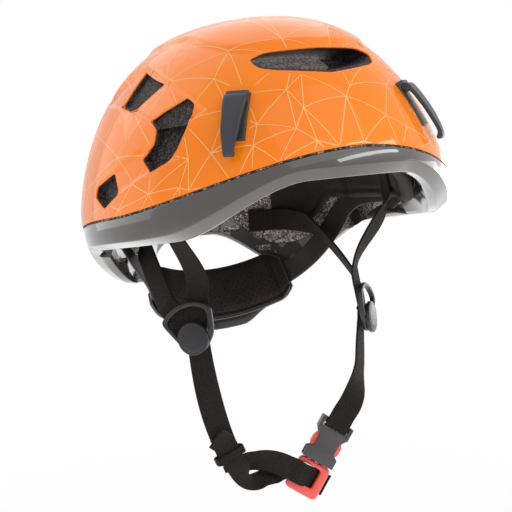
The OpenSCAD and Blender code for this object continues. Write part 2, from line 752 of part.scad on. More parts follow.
// Upper run of webbing from the keeper through the plug's window, ending behind its outer bar
module chin_loop() {
    over = plug_front - webbing_t - 2*layer_gap;
    back_tilt = [0, -0.5, 0.86];
    start = keeper_at + keeper_way*(keeper_end + 3*layer_gap) + [0, 0.4, 0];
    foot = [at_buckle([-12, over, plug_mid]), at_buckle([-6.2, over, plug_mid]),
            at_buckle([2.4, 0.2, plug_mid]), at_buckle([6, -plug_front - 0.1, plug_mid]),
            at_buckle([13.5, -plug_front, plug_mid])];
    curve = [start + keeper_way*2.6, start + keeper_way*5 + [0, 4, 0],
             foot[0] - buckle_way([24, 0, 0]), foot[0]];
    path = concat([start], [for (i = [0:9]) bezier(curve, i/9)], [for (i = [1:4]) foot[i]]);
    color([0.13, 0.11, 0.11])
        ribbon(path, [for (i = [0:14])
                         i < 7 ? mix(keeper_across, back_tilt, ease(limit((i - 2)/5)))
                               : mix(back_tilt, buckle_way([0, 0, 1]), ease(limit((i - 5)/4)))],
               webbing_w - 1, webbing_t);
}

// Lower run of webbing from under the upper run back through the keeper to its loose end
module chin_tail() {
    lift = [0, -chin_t/2 - 1.6*layer_gap - webbing_t/2, 0];
    start = [at_buckle([-5.6, plug_front, plug_mid]), at_buckle([-12, plug_front, plug_mid])];
    held = keeper_at + lift;
    tip = held - keeper_way*6;
    right = [start[1], start[1] - buckle_way([6, -5, 1]), tail_low + [12, 4.5, -0.4], tail_low];
    left = [tail_low, tail_low + [-10, -6, -1.4], held + keeper_way*12 - [0, 4, 0], held + keeper_way*3.8];
    path = concat([start[0]], [for (i = [0:6]) bezier(right, i/6)], [for (i = [1:6]) bezier(left, i/6)],
                  [held, tip, tip + [-3.5, -1.5, 3.5], tip + [-7.5, -3.5, 6.5]]);
    last = len(path) - 1;
    color([0.13, 0.11, 0.11])
        ribbon(path, [for (i = [0:last])
                         i < 7 ? mix(buckle_way([0, 0, 1]), run_tilt, ease(limit((i - 3)/4)))
                               : mix(run_tilt, keeper_across, ease(limit((i - 7.4)/4.4)))],
               webbing_w - 1, webbing_t);
}

// Elastic loop that holds the loose end
module strap_keeper() {
    inner = [webbing_w + 2, chin_t + webbing_t + 4*layer_gap, keeper_h + 2];
    color([0.16, 0.15, 0.15])
        translate(keeper_at + [0, -webbing_t/2 - layer_gap/2, 0])
            rotate([0, -keeper_lean, 0])
                difference() {
                    cube([inner[0] + 3, inner[1] + 3, keeper_h], center = true);
                    cube(inner, center = true);
                }
}

socket_bar_t = buckle_t - 2.6;

// Socket of the chin buckle: two plates with side notches, joined by ribs and a strap bar
module buckle_socket() {
    w = buckle_w/2;
    color([0.3, 0.29, 0.3])
        on_buckle()
            difference() {
                union() {
                    for (y = [-buckle_t/2, buckle_t/2 - socket_wall]) {
                        translate([0, y + socket_wall, 0])
                            rotate([90, 0, 0])
                                linear_extrude(socket_wall)
                                    polygon([[-w, 0], [w, 0], [w, 6], [w - 3.4, 8.6], [w - 3.4, 15.8],
                                             [w - 0.9, 19.2], [w, 21], [w, 24.5], [-w, 24.5], [-w, 21],
                                             [0.9 - w, 19.2], [3.4 - w, 15.8], [3.4 - w, 8.6], [-w, 6]]);
                    }
                    for (x = [-2.9, 1.9]) {
                        translate([x, -buckle_t/2, 2]) cube([1, buckle_t, 19]);
                    }
                    translate([-w, -buckle_t/2, 19.7]) cube([buckle_w, buckle_t, 2.3]);
                    translate([-w, -buckle_t/2, 21]) cube([w - webbing_w/2 - 0.7, buckle_t, socket_l - 21]);
                    translate([webbing_w/2 + 0.7, -buckle_t/2, 21])
                        cube([w - webbing_w/2 - 0.7, buckle_t, socket_l - 21]);
                    translate([-w, -socket_bar_t/2, socket_l - 3.5]) cube([buckle_w, socket_bar_t, 3.5]);
                }
                translate([-webbing_w/2 - 0.7, -buckle_t, 22])
                    cube([webbing_w + 1.4, 2*buckle_t, socket_l - 25.5]);
            }
}

// Plug of the chin buckle: a frame with a window for the webbing, and a guide tongue
module buckle_plug() {
    w = buckle_w/2;
    color([0.86, 0.28, 0.25])
        on_buckle()
            difference() {
                union() {
                    translate([-w, -plug_t/2, -plug_l]) cube([buckle_w, plug_t, plug_l - plug_fit]);
                    translate([-1.4, -2, -1]) cube([2.8, 4, 16]);
                }
                translate([-w + 2.6, -plug_t, -plug_l + 2.6])
                    cube([buckle_w - 6.2, 2*plug_t, plug_l - 6]);
                for (s = [-1, 1]) {
                    translate([s*prong_root[0], 0, prong_root[1]])
                        rotate([90, 0, 0])
                            cylinder(h = 2*plug_t, r = prong_root_r + prong_gap, center = true);
                    translate([s*prong_root[0] - 1.55, -plug_t, prong_root[1]]) cube([3.1, 2*plug_t, 3]);
                }
            }
}

// Spring prong on the right of the plug, which fills the socket's side notch
module prong() {
    x = prong_root[0];
    z = prong_root[1];
    translate([x, 0, z])
        rotate([90, 0, 0])
            cylinder(h = 4, r = prong_root_r, center = true);
    translate([0, 2, 0])
        rotate([90, 0, 0])
            linear_extrude(4)
                polygon([[x - 1, z], [x + 1, z], [x + 1.2, 6], [9.2, 8.2], [9.9, 10.4], [9.7, 14],
                         [8.3, 17], [6.8, 18], [5.6, 17.6], [4.5, 8]]);
}

module right_prong() {
    color([0.9, 0.32, 0.28]) on_buckle() mirror([1, 0, 0]) prong();
}

module left_prong() {
    color([0.9, 0.32, 0.28]) on_buckle() prong();
}

outer_shell();
lower_shell();
foam_liner();
front_clip_bases();
rear_clip_bases();
front_left_clip();
front_right_clip();
rear_left_clip();
rear_right_clip();
wall_pad();
headband();
temple_studs();
nape_cradle();
nape_pad();
strap_anchors();
right_front_strap();
left_front_strap();
right_rear_strap();
left_rear_strap();
right_divider();
left_divider();
right_lock_disc();
left_lock_disc();
right_chin_strap();
left_chin_strap();
chin_loop();
chin_tail();
strap_keeper();
buckle_socket();
buckle_plug();
right_prong();
left_prong();
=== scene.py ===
"""Looks of the climbing helmet: moulded skins, bead foam, clips, pads, headband, webbing and chin buckle."""
import math
import random

import bmesh
import bpy
from mathutils import Matrix, Vector, geometry


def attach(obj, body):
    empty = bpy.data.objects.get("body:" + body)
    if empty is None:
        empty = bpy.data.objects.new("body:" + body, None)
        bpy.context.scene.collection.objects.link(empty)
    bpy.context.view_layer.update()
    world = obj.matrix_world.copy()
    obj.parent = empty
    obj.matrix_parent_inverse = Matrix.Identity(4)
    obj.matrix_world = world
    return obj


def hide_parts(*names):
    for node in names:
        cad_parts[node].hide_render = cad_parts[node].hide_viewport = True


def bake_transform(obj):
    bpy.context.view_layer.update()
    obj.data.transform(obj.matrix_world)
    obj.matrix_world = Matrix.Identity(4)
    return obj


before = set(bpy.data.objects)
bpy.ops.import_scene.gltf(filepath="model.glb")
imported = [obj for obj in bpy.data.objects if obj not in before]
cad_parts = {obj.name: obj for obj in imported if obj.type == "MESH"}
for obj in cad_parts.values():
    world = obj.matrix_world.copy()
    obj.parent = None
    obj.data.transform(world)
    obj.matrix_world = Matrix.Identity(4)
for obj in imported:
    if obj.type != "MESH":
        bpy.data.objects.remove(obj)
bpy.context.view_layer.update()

# Lengths below are millimetres, as in the part; meshes are scaled to metres when they are finished.
MM = 0.001
HALF_W, FRONT_L, REAR_L, CROWN_H = 110, 143, 131, 110
WALL_POWER, CROWN_POWER, SKIRT_L, SKIRT_TUCK = 0.73, 1.3, 100, 0.6
SKIN_T, WALL_T, TURN_T, TURN_UP_H = 1.2, 20, 1.4, 16
RIM_MID, RIM_IN = 6, 13
SEAM_HALF = 0.65
CAP_LIFT, CAP_RAMP = 1.6, 0.03
RIM = [(0, 3.5), (16, 3.5), (58, -21), (104, -21), (136, -46), (142, -46), (172, -19), (180, -19)]
SEAM = [(0, 19.5), (80, -3), (130, -7), (180, -1)]
CREASE = [(0, 6), (44, 6), (70, 3.6), (180, 3.6)]
CAP = [(0, 80), (28, 80), (66, 97), (180, 97)]
PAD_LOW = [(0, 10), (16, 10), (56, -12), (74, -8), (100, -5), (115, -2), (128, -18), (144, -9)]
PAD_GAP, PAD_END, PAD_HALF_H, WALL_PAD_T = 0.8, 144, 15, 9

CROWN_VENT = [(80, 83.2), (62.1, 70.4), (74.4, 57.3), (84.3, 63.2)]
TEMPLE_TOP = [(50.8, 59.2), (47.9, 54.9), (49.1, 42.7), (60.6, 43.4), (64.2, 49.5), (59.8, 53.4)]
TEMPLE_LOW = [(49.1, 43.5), (49.1, 42.7), (52.7, 28.6), (55.7, 23.3), (61.8, 18.9), (65.5, 27.8),
              (60.9, 34.9), (60.6, 43.4), (60.6, 44)]
TEMPLE_VENT = TEMPLE_TOP[:3] + TEMPLE_LOW[2:7] + TEMPLE_TOP[3:]
EAR_VENT = [(77.2, 23.5), (74.2, 10.1), (81.5, 2.9), (87.2, 11), (86.3, 17.4)]
REAR_VENT = [(112, 70), (128, 64), (134, 45), (118, 48.5)]
NAPE_VENT = [(156, 73), (170, 75), (168, 56), (154, 54)]
BROW_HALF = [(22, 78.8), (28.6, 75.4), (25.4, 69), (20, 66.6), (9.8, 64.1)]
BROW_VENT = [(0, 79.4)] + BROW_HALF + [(0, 62.1)] + [(-a, z) for a, z in reversed(BROW_HALF)]
SIDE_VENTS = [CROWN_VENT, TEMPLE_VENT, EAR_VENT, REAR_VENT, NAPE_VENT]
FRONT_CLIP, REAR_CLIP = ((35.7, 31), (33.5, 51)), ((145, 31), (150, 51))
BROW_ROUND, VENT_ROUND, FOAM_VENT_ROUND = 4.0, 2.2, 2.0
# Cutters start this far outside the skin, because the crown curves away under a flat end
CUT_FROM, SKIN_CUT_TO = -24, 6
CLIP_POCKET = ((-6.7, -4.2, -12.2), (6.7, 7.8, 17.2))
TAB_POCKET = ((81, -26, -30), (94.4, 46, 12))
FOAM_POCKETS = ((CROWN_VENT, 5.6), (TEMPLE_TOP, 4.6), (TEMPLE_LOW, 6.4), (EAR_VENT, 5.2), (REAR_VENT, 6.0),
                (NAPE_VENT, 6.0))
BROW_TAPER, BROW_RISE, POCKET_TAPER, FOAM_GAP = 0.12, 4, 0.05, 0.06
RIM_SLOTS, SLOT_HALF_A, SLOT_UP, SLOT_H, SLOT_ROUND = (124, 150, 163), 3.5, 7, 4, 1.2

# Moulded relief as angles and heights: a channel from crown vent to temple vent, a shallower band at the ear
CHANNEL = [(42.6, 50.4), (46.6, 56.2), (51.2, 62.9), (58.7, 71.8), (68.7, 81.2), (80, 87), (92, 86),
           (104, 80), (114, 73.5), (106, 69), (97, 66.4), (81.8, 61), (73, 56.1), (67.2, 51.4),
           (62.6, 46.3), (61.1, 44.4), (52, 43), (46, 46)]
EAR_BAND = [(86.2, 18.5), (76.8, 25.7), (65.4, 35.7), (57, 30), (49.3, 25.1), (56.5, 22.3), (73.7, 10.6),
            (82, 5)]
CHANNEL_IN, CHANNEL_SLOPE, EAR_BAND_IN, EAR_BAND_SLOPE = 2.6, 4.2, 1.1, 4.0
RELIEF_FROM, RELIEF_TO = (38, -2), (118, 92)
# Millimetres of the spread-out wall for a degree of angle and for a millimetre of height
SPREAD_A, SPREAD_Z = 2.0, 1.25


def mix(a, b, t):
    return a + (b - a) * t


def limit(t):
    return max(0.0, min(1.0, t))


def ease(t):
    t = limit(t)
    return t * t * (3 - 2 * t)


def level(a, levels):
    """Height at an angle from the brow, eased between the listed ones."""
    a = abs((a + 180) % 360 - 180)
    for (a0, z0), (a1, z1) in zip(levels, levels[1:]):
        if a <= a1:
            return mix(z0, z1, ease((a - a0) / (a1 - a0)))
    return levels[-1][1]


def bezier(p, t):
    return p[0] * (1 - t) ** 3 + p[1] * 3 * t * (1 - t) ** 2 + p[2] * 3 * t * t * (1 - t) + p[3] * t ** 3


def flip(p):
    return Vector((-p[0], p[1], p[2]))


def share(z, top=CROWN_H):
    """Share of the way up the wall, negative on the skirt, at a height."""
    return math.degrees(math.asin(limit(z / top) ** (1 / CROWN_POWER))) / 90 if z >= 0 else z / SKIRT_L


def height(u, top=CROWN_H):
    """Height at a share of the way up the wall."""
    return top * limit(math.sin(math.pi / 2 * u)) ** CROWN_POWER if u >= 0 else u * SKIRT_L


def skin_point(a, u, in_by):
    """Point of the wall at angle a from the brow, share u of its height and depth in_by below its face."""
    r = max(0.0, math.cos(math.pi / 2 * u)) ** WALL_POWER if u >= 0 else 1 - SKIRT_TUCK * u * u
    co, si = math.cos(math.radians(a)), math.sin(math.radians(a))
    half_l = (FRONT_L if co > 0 else REAR_L) - in_by
    return Vector(((HALF_W - in_by) * r * si, -half_l * r * co, height(u, CROWN_H - in_by)))


def wall_point(a, z, in_by):
    return skin_point(a, share(z, CROWN_H - in_by), in_by)


def wall_across(a, z, in_by):
    return (wall_point(a + 1, z, in_by) - wall_point(a - 1, z, in_by)).normalized()


def wall_up(a, z, in_by):
    return (wall_point(a, z + 1, in_by) - wall_point(a, z - 1, in_by)).normalized()


def flat(p):
    """Angle and height turned into millimetres on the spread-out wall, near the vents."""
    return Vector((SPREAD_A * p[0], SPREAD_Z * p[1]))


def depth_inside(p, outline):
    """Distance from a point of the spread-out wall to an outline, positive inside."""
    inside, best = False, 1e9
    for q, r in zip(outline, outline[1:] + outline[:1]):
        d = r - q
        t = limit((p - q).dot(d) / d.length_squared)
        best = min(best, (p - q - d * t).length)
        if (q.y > p.y) != (r.y > p.y) and p.x < q.x + (p.y - q.y) / (r.y - q.y) * d.x:
            inside = not inside
    return best if inside else -best


CHANNEL_FLAT = [flat(p) for p in CHANNEL]
EAR_BAND_FLAT = [flat(p) for p in EAR_BAND]


def sunk(a, z):
    """Depth of the moulded channels below the plain shell."""
    a = abs((a + 180) % 360 - 180)
    if not RELIEF_FROM[0] < a < RELIEF_TO[0] or not RELIEF_FROM[1] < z < RELIEF_TO[1]:
        return 0.0
    p = flat((a, z))
    return (CHANNEL_IN * ease(depth_inside(p, CHANNEL_FLAT) / CHANNEL_SLOPE)
            + EAR_BAND_IN * ease(depth_inside(p, EAR_BAND_FLAT) / EAR_BAND_SLOPE))


def mirrored(outline):
    return [(-a, z) for a, z in reversed(outline)]


def rounded(pts, radius, steps=3):
    """Closed line of points with its corners rounded."""
    out = []
    for i, p in enumerate(pts):
        q, r = pts[i - 1], pts[(i + 1) % len(pts)]
        a = p + (q - p).normalized() * min(radius, (q - p).length * 0.45)
        b = p + (r - p).normalized() * min(radius, (r - p).length * 0.45)
        for k in range(steps + 1):
            t = k / steps
            out.append(a * (1 - t) ** 2 + p * 2 * t * (1 - t) + b * t * t)
    return out


def soft_outline(corners, radius, step=1.5):
    """Outline with its corners rounded and its sides divided, as angles and heights."""
    out = rounded([flat(c) for c in corners], radius, 4)
    full = []
    for p, q in zip(out, out[1:] + out[:1]):
        n = max(1, round((q - p).length / step))
        full += [p.lerp(q, k / n) for k in range(n)]
    return [(p.x / SPREAD_A, p.y / SPREAD_Z) for p in full]


def smooth_path(pts, per=6):
    """Smooth run through the given points."""
    out = []
    for i in range(len(pts) - 1):
        p0, p1, p2, p3 = pts[max(i - 1, 0)], pts[i], pts[i + 1], pts[min(i + 2, len(pts) - 1)]
        for k in range(per):
            t = k / per
            out.append(0.5 * ((2 * p1) + (p2 - p0) * t + (2 * p0 - 5 * p1 + 4 * p2 - p3) * t * t
                              + (3 * p1 - p0 - 3 * p2 + p3) * t ** 3))
    return out + [pts[-1].copy()]


def lengths(pts):
    """Distance run at each of a line of points."""
    run = [0.0]
    for p, q in zip(pts, pts[1:]):
        run.append(run[-1] + (q - p).length)
    return run


# Shader values

class Wire:
    """A shader socket that takes part in Python expressions."""

    def __init__(self, socket):
        self.socket = socket

    def calc(self, operation, *values):
        return node(self.socket.id_data, "ShaderNodeMath", {"operation": operation}, dict(enumerate(values)))

    def __add__(self, other):
        return self.calc("ADD", self, other)

    def __radd__(self, other):
        return self.calc("ADD", other, self)

    def __sub__(self, other):
        return self.calc("SUBTRACT", self, other)

    def __rsub__(self, other):
        return self.calc("SUBTRACT", other, self)

    def __mul__(self, other):
        return self.calc("MULTIPLY", self, other)

    def __rmul__(self, other):
        return self.calc("MULTIPLY", other, self)

    def __truediv__(self, other):
        return self.calc("DIVIDE", self, other)

    def __pow__(self, other):
        return self.calc("POWER", self, other)

    def sin(self):
        return self.calc("SINE", self)

    def abs(self):
        return self.calc("ABSOLUTE", self)

    def above(self, low, high):
        """0 below low, 1 over high."""
        return node(self.socket.id_data, "ShaderNodeMapRange",
                    {"interpolation_type": "SMOOTHSTEP", "clamp": True},
                    {"Value": self, "From Min": low, "From Max": high})


def node(tree, kind, settings=None, sockets=None, out=0):
    """Adds a node with its settings and the values or links of its sockets, and gives back one output."""
    made = tree.nodes.new(kind)
    for key, value in (settings or {}).items():
        if key == "stops":
            elements = made.color_ramp.elements
            while len(elements) < len(value):
                elements.new(0.5)
            for element, (place, colour) in zip(elements, value):
                element.position, element.color = place, (*colour, 1)
        else:
            setattr(made, key, value)
    for key, value in (sockets or {}).items():
        if isinstance(value, Wire):
            tree.links.new(value.socket, made.inputs[key])
        else:
            made.inputs[key].default_value = value
    return Wire(made.outputs[out])


def new_look(name, **fixed):
    """Material with one Principled shader, its fixed values set on its own sockets."""
    material = bpy.data.materials.new(name)
    material.use_nodes = True
    shader = material.node_tree.nodes["Principled BSDF"]
    for key, value in fixed.items():
        socket = shader.inputs[key.replace("_", " ")]
        socket.default_value = (*value, 1) if isinstance(value, tuple) else value
    return material, material.node_tree, shader.inputs


def join(tree, value, socket):
    tree.links.new(value.socket, socket)


def object_at(tree):
    return node(tree, "ShaderNodeTexCoord", out="Object")


def ray(tree, kind):
    return node(tree, "ShaderNodeLightPath", out=f"Is {kind} Ray")


def noise(tree, at, scale, detail=2.0, rough=0.5):
    return node(tree, "ShaderNodeTexNoise", None,
                {"Vector": at, "Scale": scale, "Detail": detail, "Roughness": rough}, out="Fac")


def part_of(tree, vector, axis):
    return node(tree, "ShaderNodeSeparateXYZ", None, {"Vector": vector}, out=axis)


def beads(tree, at, size, out):
    return node(tree, "ShaderNodeTexVoronoi", {"feature": "F1"}, {"Vector": at, "Scale": 1 / size}, out=out)


def ramp(tree, value, stops):
    return node(tree, "ShaderNodeValToRGB", {"stops": stops}, {"Fac": value}, out="Color")


def bump(tree, value, strength, distance):
    return node(tree, "ShaderNodeBump", None,
                {"Height": value, "Strength": strength, "Distance": distance}, out="Normal")


def gloss_look(name, dark, light, rough, coat, grain=0.0, **fixed):
    """Moulded glossy plastic: slow colour drift, faint orange-peel in the finish and a clear surface."""
    material, tree, ins = new_look(name, Coat_Weight=coat, Coat_Roughness=0.03, **fixed)
    at = object_at(tree)
    drift = noise(tree, at, 14.0, 3.0)
    join(tree, ramp(tree, drift, [(0.3, dark), (0.7, light)]), ins["Base Color"])
    join(tree, rough + noise(tree, at, 60.0) * 0.08, ins["Roughness"])
    if grain:
        join(tree, bump(tree, noise(tree, at, 260.0, 2.0), grain, 0.0004), ins["Normal"])
    return material


def grain_look(name, dark, light, rough, size=1500.0, strength=0.25, **fixed):
    """Satin moulded plastic with a spark-eroded grain and rubbed paler patches."""
    material, tree, ins = new_look(name, **fixed)
    at = object_at(tree)
    wear = noise(tree, at, 55.0, 4.0, 0.6)
    grain = noise(tree, at, size, 2.0)
    join(tree, ramp(tree, wear * 0.8 + grain * 0.2, [(0.35, dark), (0.7, light)]), ins["Base Color"])
    join(tree, rough + wear * 0.14 - 0.07, ins["Roughness"])
    join(tree, bump(tree, grain, strength, 0.0002), ins["Normal"])
    return material


def bead_look(name, dark, mid, light, size, vent_painted_shade=1.0, inside_painted_light=1.0):
    """Expanded bead foam: packed beads, each its own shade, with dark joints; painted light makes it paler
    inside the shell, and painted shade makes it darker near the outer face where the vents show it.
    """
    material, tree, ins = new_look(name, Specular_IOR_Level=0.35)
    at = object_at(tree)
    bead = beads(tree, at, size, "Distance")
    shade_of = beads(tree, at, size, "Color")
    own_shade = node(tree, "ShaderNodeSeparateColor", None, {"Color": shade_of}, out="Red")
    speck = noise(tree, at, 900.0, 3.0, 0.6)
    tone = own_shade * 0.62 + speck * 0.5 - bead.above(0.35, 0.75) * 0.34
    x, y, z = (part_of(tree, at, axis) for axis in "XYZ")
    reach = (x / (HALF_W * MM)) ** 2.0 + (y / (FRONT_L * MM)) ** 2.0 + (z / (CROWN_H * MM)) ** 2.0
    # Painted light: inside the shell the foam colour is scaled up, less high up; near the outer face, where
    # the vents show it, painted shade scales it down.
    inside = inside_painted_light - z.above(0.03, 0.06) * (inside_painted_light * 0.42)
    painted_light_here = inside + reach.above(0.72, 0.84) * (vent_painted_shade - inside)
    colour = ramp(tree, tone, [(0.12, dark), (0.45, mid), (0.8, light)])
    colour_with_painted_light = node(tree, "ShaderNodeVectorMath", {"operation": "SCALE"},
                  {"Vector": colour, "Scale": painted_light_here}, out="Vector")
    join(tree, colour_with_painted_light, ins["Base Color"])
    join(tree, 0.62 + speck * 0.2, ins["Roughness"])
    join(tree, bump(tree, bead ** 2.0 * -1.0 + speck * 0.12, 0.75, 0.0016), ins["Normal"])
    return material


def webbing_look(name, dark, light):
    """Woven tape read from its own UV in millimetres: staggered picks, slanted yarns and a firm edge."""
    material, tree, ins = new_look(name, Sheen_Weight=0.02, Sheen_Roughness=0.5, Specular_IOR_Level=0.12)
    uv = node(tree, "ShaderNodeUVMap", {"uv_map": "tape"}, out="UV")
    along, across = part_of(tree, uv, "X"), part_of(tree, uv, "Y")
    rib = ((across * 3.4).sin() * (along * 2.9).sin()) * 0.5 + 0.5
    yarn = (along * 6.6 + across.abs() * 2.4).sin() * 0.5 + 0.5
    weave = rib * 0.7 + yarn * 0.3
    fuzz = noise(tree, object_at(tree), 700.0, 3.0)
    wear = noise(tree, object_at(tree), 40.0, 3.0)
    edge = across.abs().above(5.9, 6.5)
    tone = weave * 0.4 + fuzz * 0.36 + wear * 0.24
    join(tree, ramp(tree, tone, [(0.25, dark), (0.8, light)]), ins["Base Color"])
    join(tree, 0.74 + fuzz * 0.2 - rib * 0.08, ins["Roughness"])
    join(tree, bump(tree, weave + edge * 0.5, 0.6, 0.0004), ins["Normal"])
    return material


def fabric_look(name, dark, light, pitch, holes=0.0):
    """Knitted pad cover read from its own UV in millimetres: a diagonal mesh, plain or with punched dots."""
    material, tree, ins = new_look(name, Sheen_Weight=0.05, Sheen_Roughness=0.45, Specular_IOR_Level=0.15)
    uv = node(tree, "ShaderNodeUVMap", {"uv_map": "cloth"}, out="UV")
    x, y = part_of(tree, uv, "X"), part_of(tree, uv, "Y")
    k = 2 * math.pi / pitch
    knit = ((x * k + y * k).sin() * (x * k - y * k).sin()) * 0.5 + 0.5
    fuzz = noise(tree, object_at(tree), 600.0, 3.0, 0.6)
    wear = noise(tree, object_at(tree), 28.0, 3.0)
    tone = knit * 0.35 + fuzz * 0.35 + wear * 0.3
    relief = knit * 0.6 + fuzz * 0.3
    if holes:
        h = math.pi / holes
        dot = (((x + y) * h).sin() * ((x - y) * h).sin()).abs().above(0.82, 0.95)
        tone = tone - dot * 0.5
        relief = relief - dot * 1.2
    join(tree, ramp(tree, tone, [(0.22, dark), (0.75, light)]), ins["Base Color"])
    join(tree, 0.72 + fuzz * 0.2, ins["Roughness"])
    join(tree, bump(tree, relief, 0.7, 0.0005), ins["Normal"])
    return material


ORANGE = gloss_look("orange_shell",
                    (0.87, 0.194, 0.002), (0.90, 0.226, 0.004), 0.30, 0.50, 0.012, Specular_IOR_Level=0.05)
INK = gloss_look("pale_line_ink",
                 (0.92, 0.44, 0.13), (0.92, 0.49, 0.17), 0.30, 0.7, 0.015, Specular_IOR_Level=0.05)
RIM_GREY = gloss_look("grey_shell",
                      (0.058, 0.049, 0.045), (0.072, 0.062, 0.057), 0.2, 1.0, 0.012, Specular_IOR_Level=0.2)
# Its last two numbers are painted shade in the vents and painted light inside the shell.
FOAM = bead_look("liner_foam",
                 (0.014, 0.011, 0.011), (0.045, 0.037, 0.036), (0.115, 0.100, 0.098), 0.0012, 0.8, 7.5)
SEAM_FOAM = bead_look("seam_foam", (0.010, 0.007, 0.006), (0.06, 0.046, 0.040), (0.34, 0.30, 0.27), 0.0018)
CLIP = grain_look("clip_satin", (0.034, 0.032, 0.038), (0.048, 0.045, 0.053), 0.42, Specular_IOR_Level=0.3)
BASE = grain_look("clip_base", (0.030, 0.029, 0.032), (0.055, 0.053, 0.058), 0.45)
HARD = grain_look("fixing_plastic", (0.020, 0.019, 0.020), (0.040, 0.038, 0.040), 0.45)
BAND = gloss_look("band_plastic",
                  (0.036, 0.030, 0.030), (0.050, 0.043, 0.043), 0.5, 0.0, 0.02, Specular_IOR_Level=0.4)
CRADLE = gloss_look("cradle_plastic", (0.030, 0.026, 0.026), (0.045, 0.040, 0.040), 0.36, 0.3, 0.02)
DIVIDER = grain_look("divider_plastic",
                     (0.022, 0.021, 0.023), (0.040, 0.038, 0.041), 0.40, Specular_IOR_Level=0.3)
DISC = grain_look("disc_plastic", (0.020, 0.019, 0.021), (0.030, 0.028, 0.031), 0.38, Specular_IOR_Level=0.3)
SOCKET = grain_look("buckle_grey", (0.030, 0.026, 0.027), (0.052, 0.046, 0.047), 0.36)
PLUG = gloss_look("buckle_red", (0.74, 0.070, 0.052), (0.80, 0.100, 0.078), 0.32, 0.2, 0.02)
TAPE = webbing_look("webbing", (0.0035, 0.0027, 0.0024), (0.034, 0.0275, 0.0255))
ELASTIC = webbing_look("keeper_elastic", (0.005, 0.004, 0.004), (0.026, 0.022, 0.021))
WALL_CLOTH = fabric_look("pad_fabric", (0.009, 0.0068, 0.006), (0.046, 0.036, 0.032), 1.5)
NAPE_CLOTH = fabric_look("nape_fabric", (0.010, 0.0068, 0.0065), (0.046, 0.034, 0.033), 1.3, 4.6)
PIPING = grain_look("pad_piping", (0.085, 0.070, 0.066), (0.13, 0.11, 0.105), 0.6)


# Mesh building

SHARP = 40


def lay_grid(bm, nu, nv, place, uv_name=None, uv_at=None):
    """A grid with each vertex put where place says for its shares of the way along and across."""
    made = bmesh.ops.create_grid(bm, x_segments=nu, y_segments=nv, size=0.5)["verts"]
    shares = {v: (v.co.x + 0.5, v.co.y + 0.5) for v in made}
    if uv_name:
        layer = bm.loops.layers.uv.get(uv_name) or bm.loops.layers.uv.new(uv_name)
        for face in {f for v in made for f in v.link_faces}:
            for loop in face.loops:
                loop[layer].uv = uv_at(*shares[loop.vert])
    for v, (s, t) in shares.items():
        v.co = place(s, t)
    return made


def weld(bm, dist=1e-4):
    bmesh.ops.remove_doubles(bm, verts=bm.verts[:], dist=dist)


def close_ends(bm):
    edges = [e for e in bm.edges if e.is_boundary]
    if edges:
        bmesh.ops.holes_fill(bm, edges=edges, sides=0)


def outward(bm):
    bmesh.ops.recalc_face_normals(bm, faces=bm.faces[:])


def put_in_scene(name, data):
    made = bpy.data.objects.new(name, data)
    bpy.context.scene.collection.objects.link(made)
    return made


def built(name, bm, scale=MM):
    """Object in metres from a built mesh."""
    bm.transform(Matrix.Scale(scale, 4))
    mesh = bpy.data.meshes.new(name)
    bm.to_mesh(mesh)
    bm.free()
    return put_in_scene(name, mesh)


def shade(mesh, sharp):
    """Smooth faces, with edges that turn further than an angle left sharp."""
    mesh.polygons.foreach_set("use_smooth", [True] * len(mesh.polygons))
    mesh.set_sharp_from_angle(angle=math.radians(sharp))


def finished(name, bm, look, body, replaces=(), sharp=SHARP, ride=True):
    """Turns the built mesh into a piece in metres that rides on its body."""
    piece = built(name, bm)
    piece.data.materials.append(look)
    shade(piece.data, sharp)
    if ride:
        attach(piece, body)
    if replaces:
        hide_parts(*replaces)
    return piece


def cut(piece, tool_bm):
    """Cuts the closed tool out of the piece."""
    outward(tool_bm)
    tool = built("cutter", tool_bm)
    modifier = piece.modifiers.new("cut", "BOOLEAN")
    modifier.object, modifier.operation, modifier.solver = tool, "DIFFERENCE", "MANIFOLD"
    bpy.context.view_layer.update()
    result = bpy.data.meshes.new_from_object(piece.evaluated_get(bpy.context.evaluated_depsgraph_get()))
    piece.modifiers.clear()
    piece.data = result
    bpy.data.objects.remove(tool)
    shade(result, SHARP)


def prism(bm, outline, outer, inner, shrink=0.0, rise=0.0):
    """Closed plug between two depths of the wall, narrowing by a share towards its inner end."""
    n = len(outline)
    mid = (sum(a for a, z in outline) / n, sum(z for a, z in outline) / n)

    def place(s, t):
        a, z = outline[round(s * n) % n]
        if t < 0.5:
            return wall_point(a, z, outer)
        return wall_point(mix(a, mid[0], shrink), mix(z, mid[1], shrink) + rise, inner)

    ring = lay_grid(bm, n, 1, place)
    bmesh.ops.remove_doubles(bm, verts=ring, dist=1e-4)
    close_ends(bm)


def block(bm, low, high, put):
    """Box between two corners of a piece's own directions."""
    made = bmesh.ops.create_cube(bm, size=1.0)["verts"]
    for v in made:
        v.co = put(Vector(mix(low[k], high[k], v.co[k] + 0.5) for k in range(3)))
    return made


def set_in_place(bm, put):
    for v in bm.verts:
        v.co = put(v.co)
    outward(bm)


def round_edges(bm, edges, width, segments, clamp=False):
    bmesh.ops.bevel(bm, geom=edges, offset=width, offset_type="OFFSET", affect="EDGES", segments=segments,
                    profile=0.5, material=-1, clamp_overlap=clamp)


def corner_edges(bm, angle):
    return [e for e in bm.edges if len(e.link_faces) == 2 and e.calc_face_angle() > angle]


def softened(node_name, width, look, body, segments=2):
    """Copy of a hard CAD piece with its edges rounded."""
    bm = bmesh.new()
    bm.from_mesh(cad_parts[node_name].data)
    bm.transform(Matrix.Scale(1 / MM, 4))
    weld(bm, 2e-3)
    bmesh.ops.dissolve_limit(bm, angle_limit=math.radians(2), verts=bm.verts[:], edges=bm.edges[:])
    round_edges(bm, corner_edges(bm, math.radians(32)), width, segments, True)
    finished(node_name + "_finish", bm, look, body, [node_name])


# Outer skin

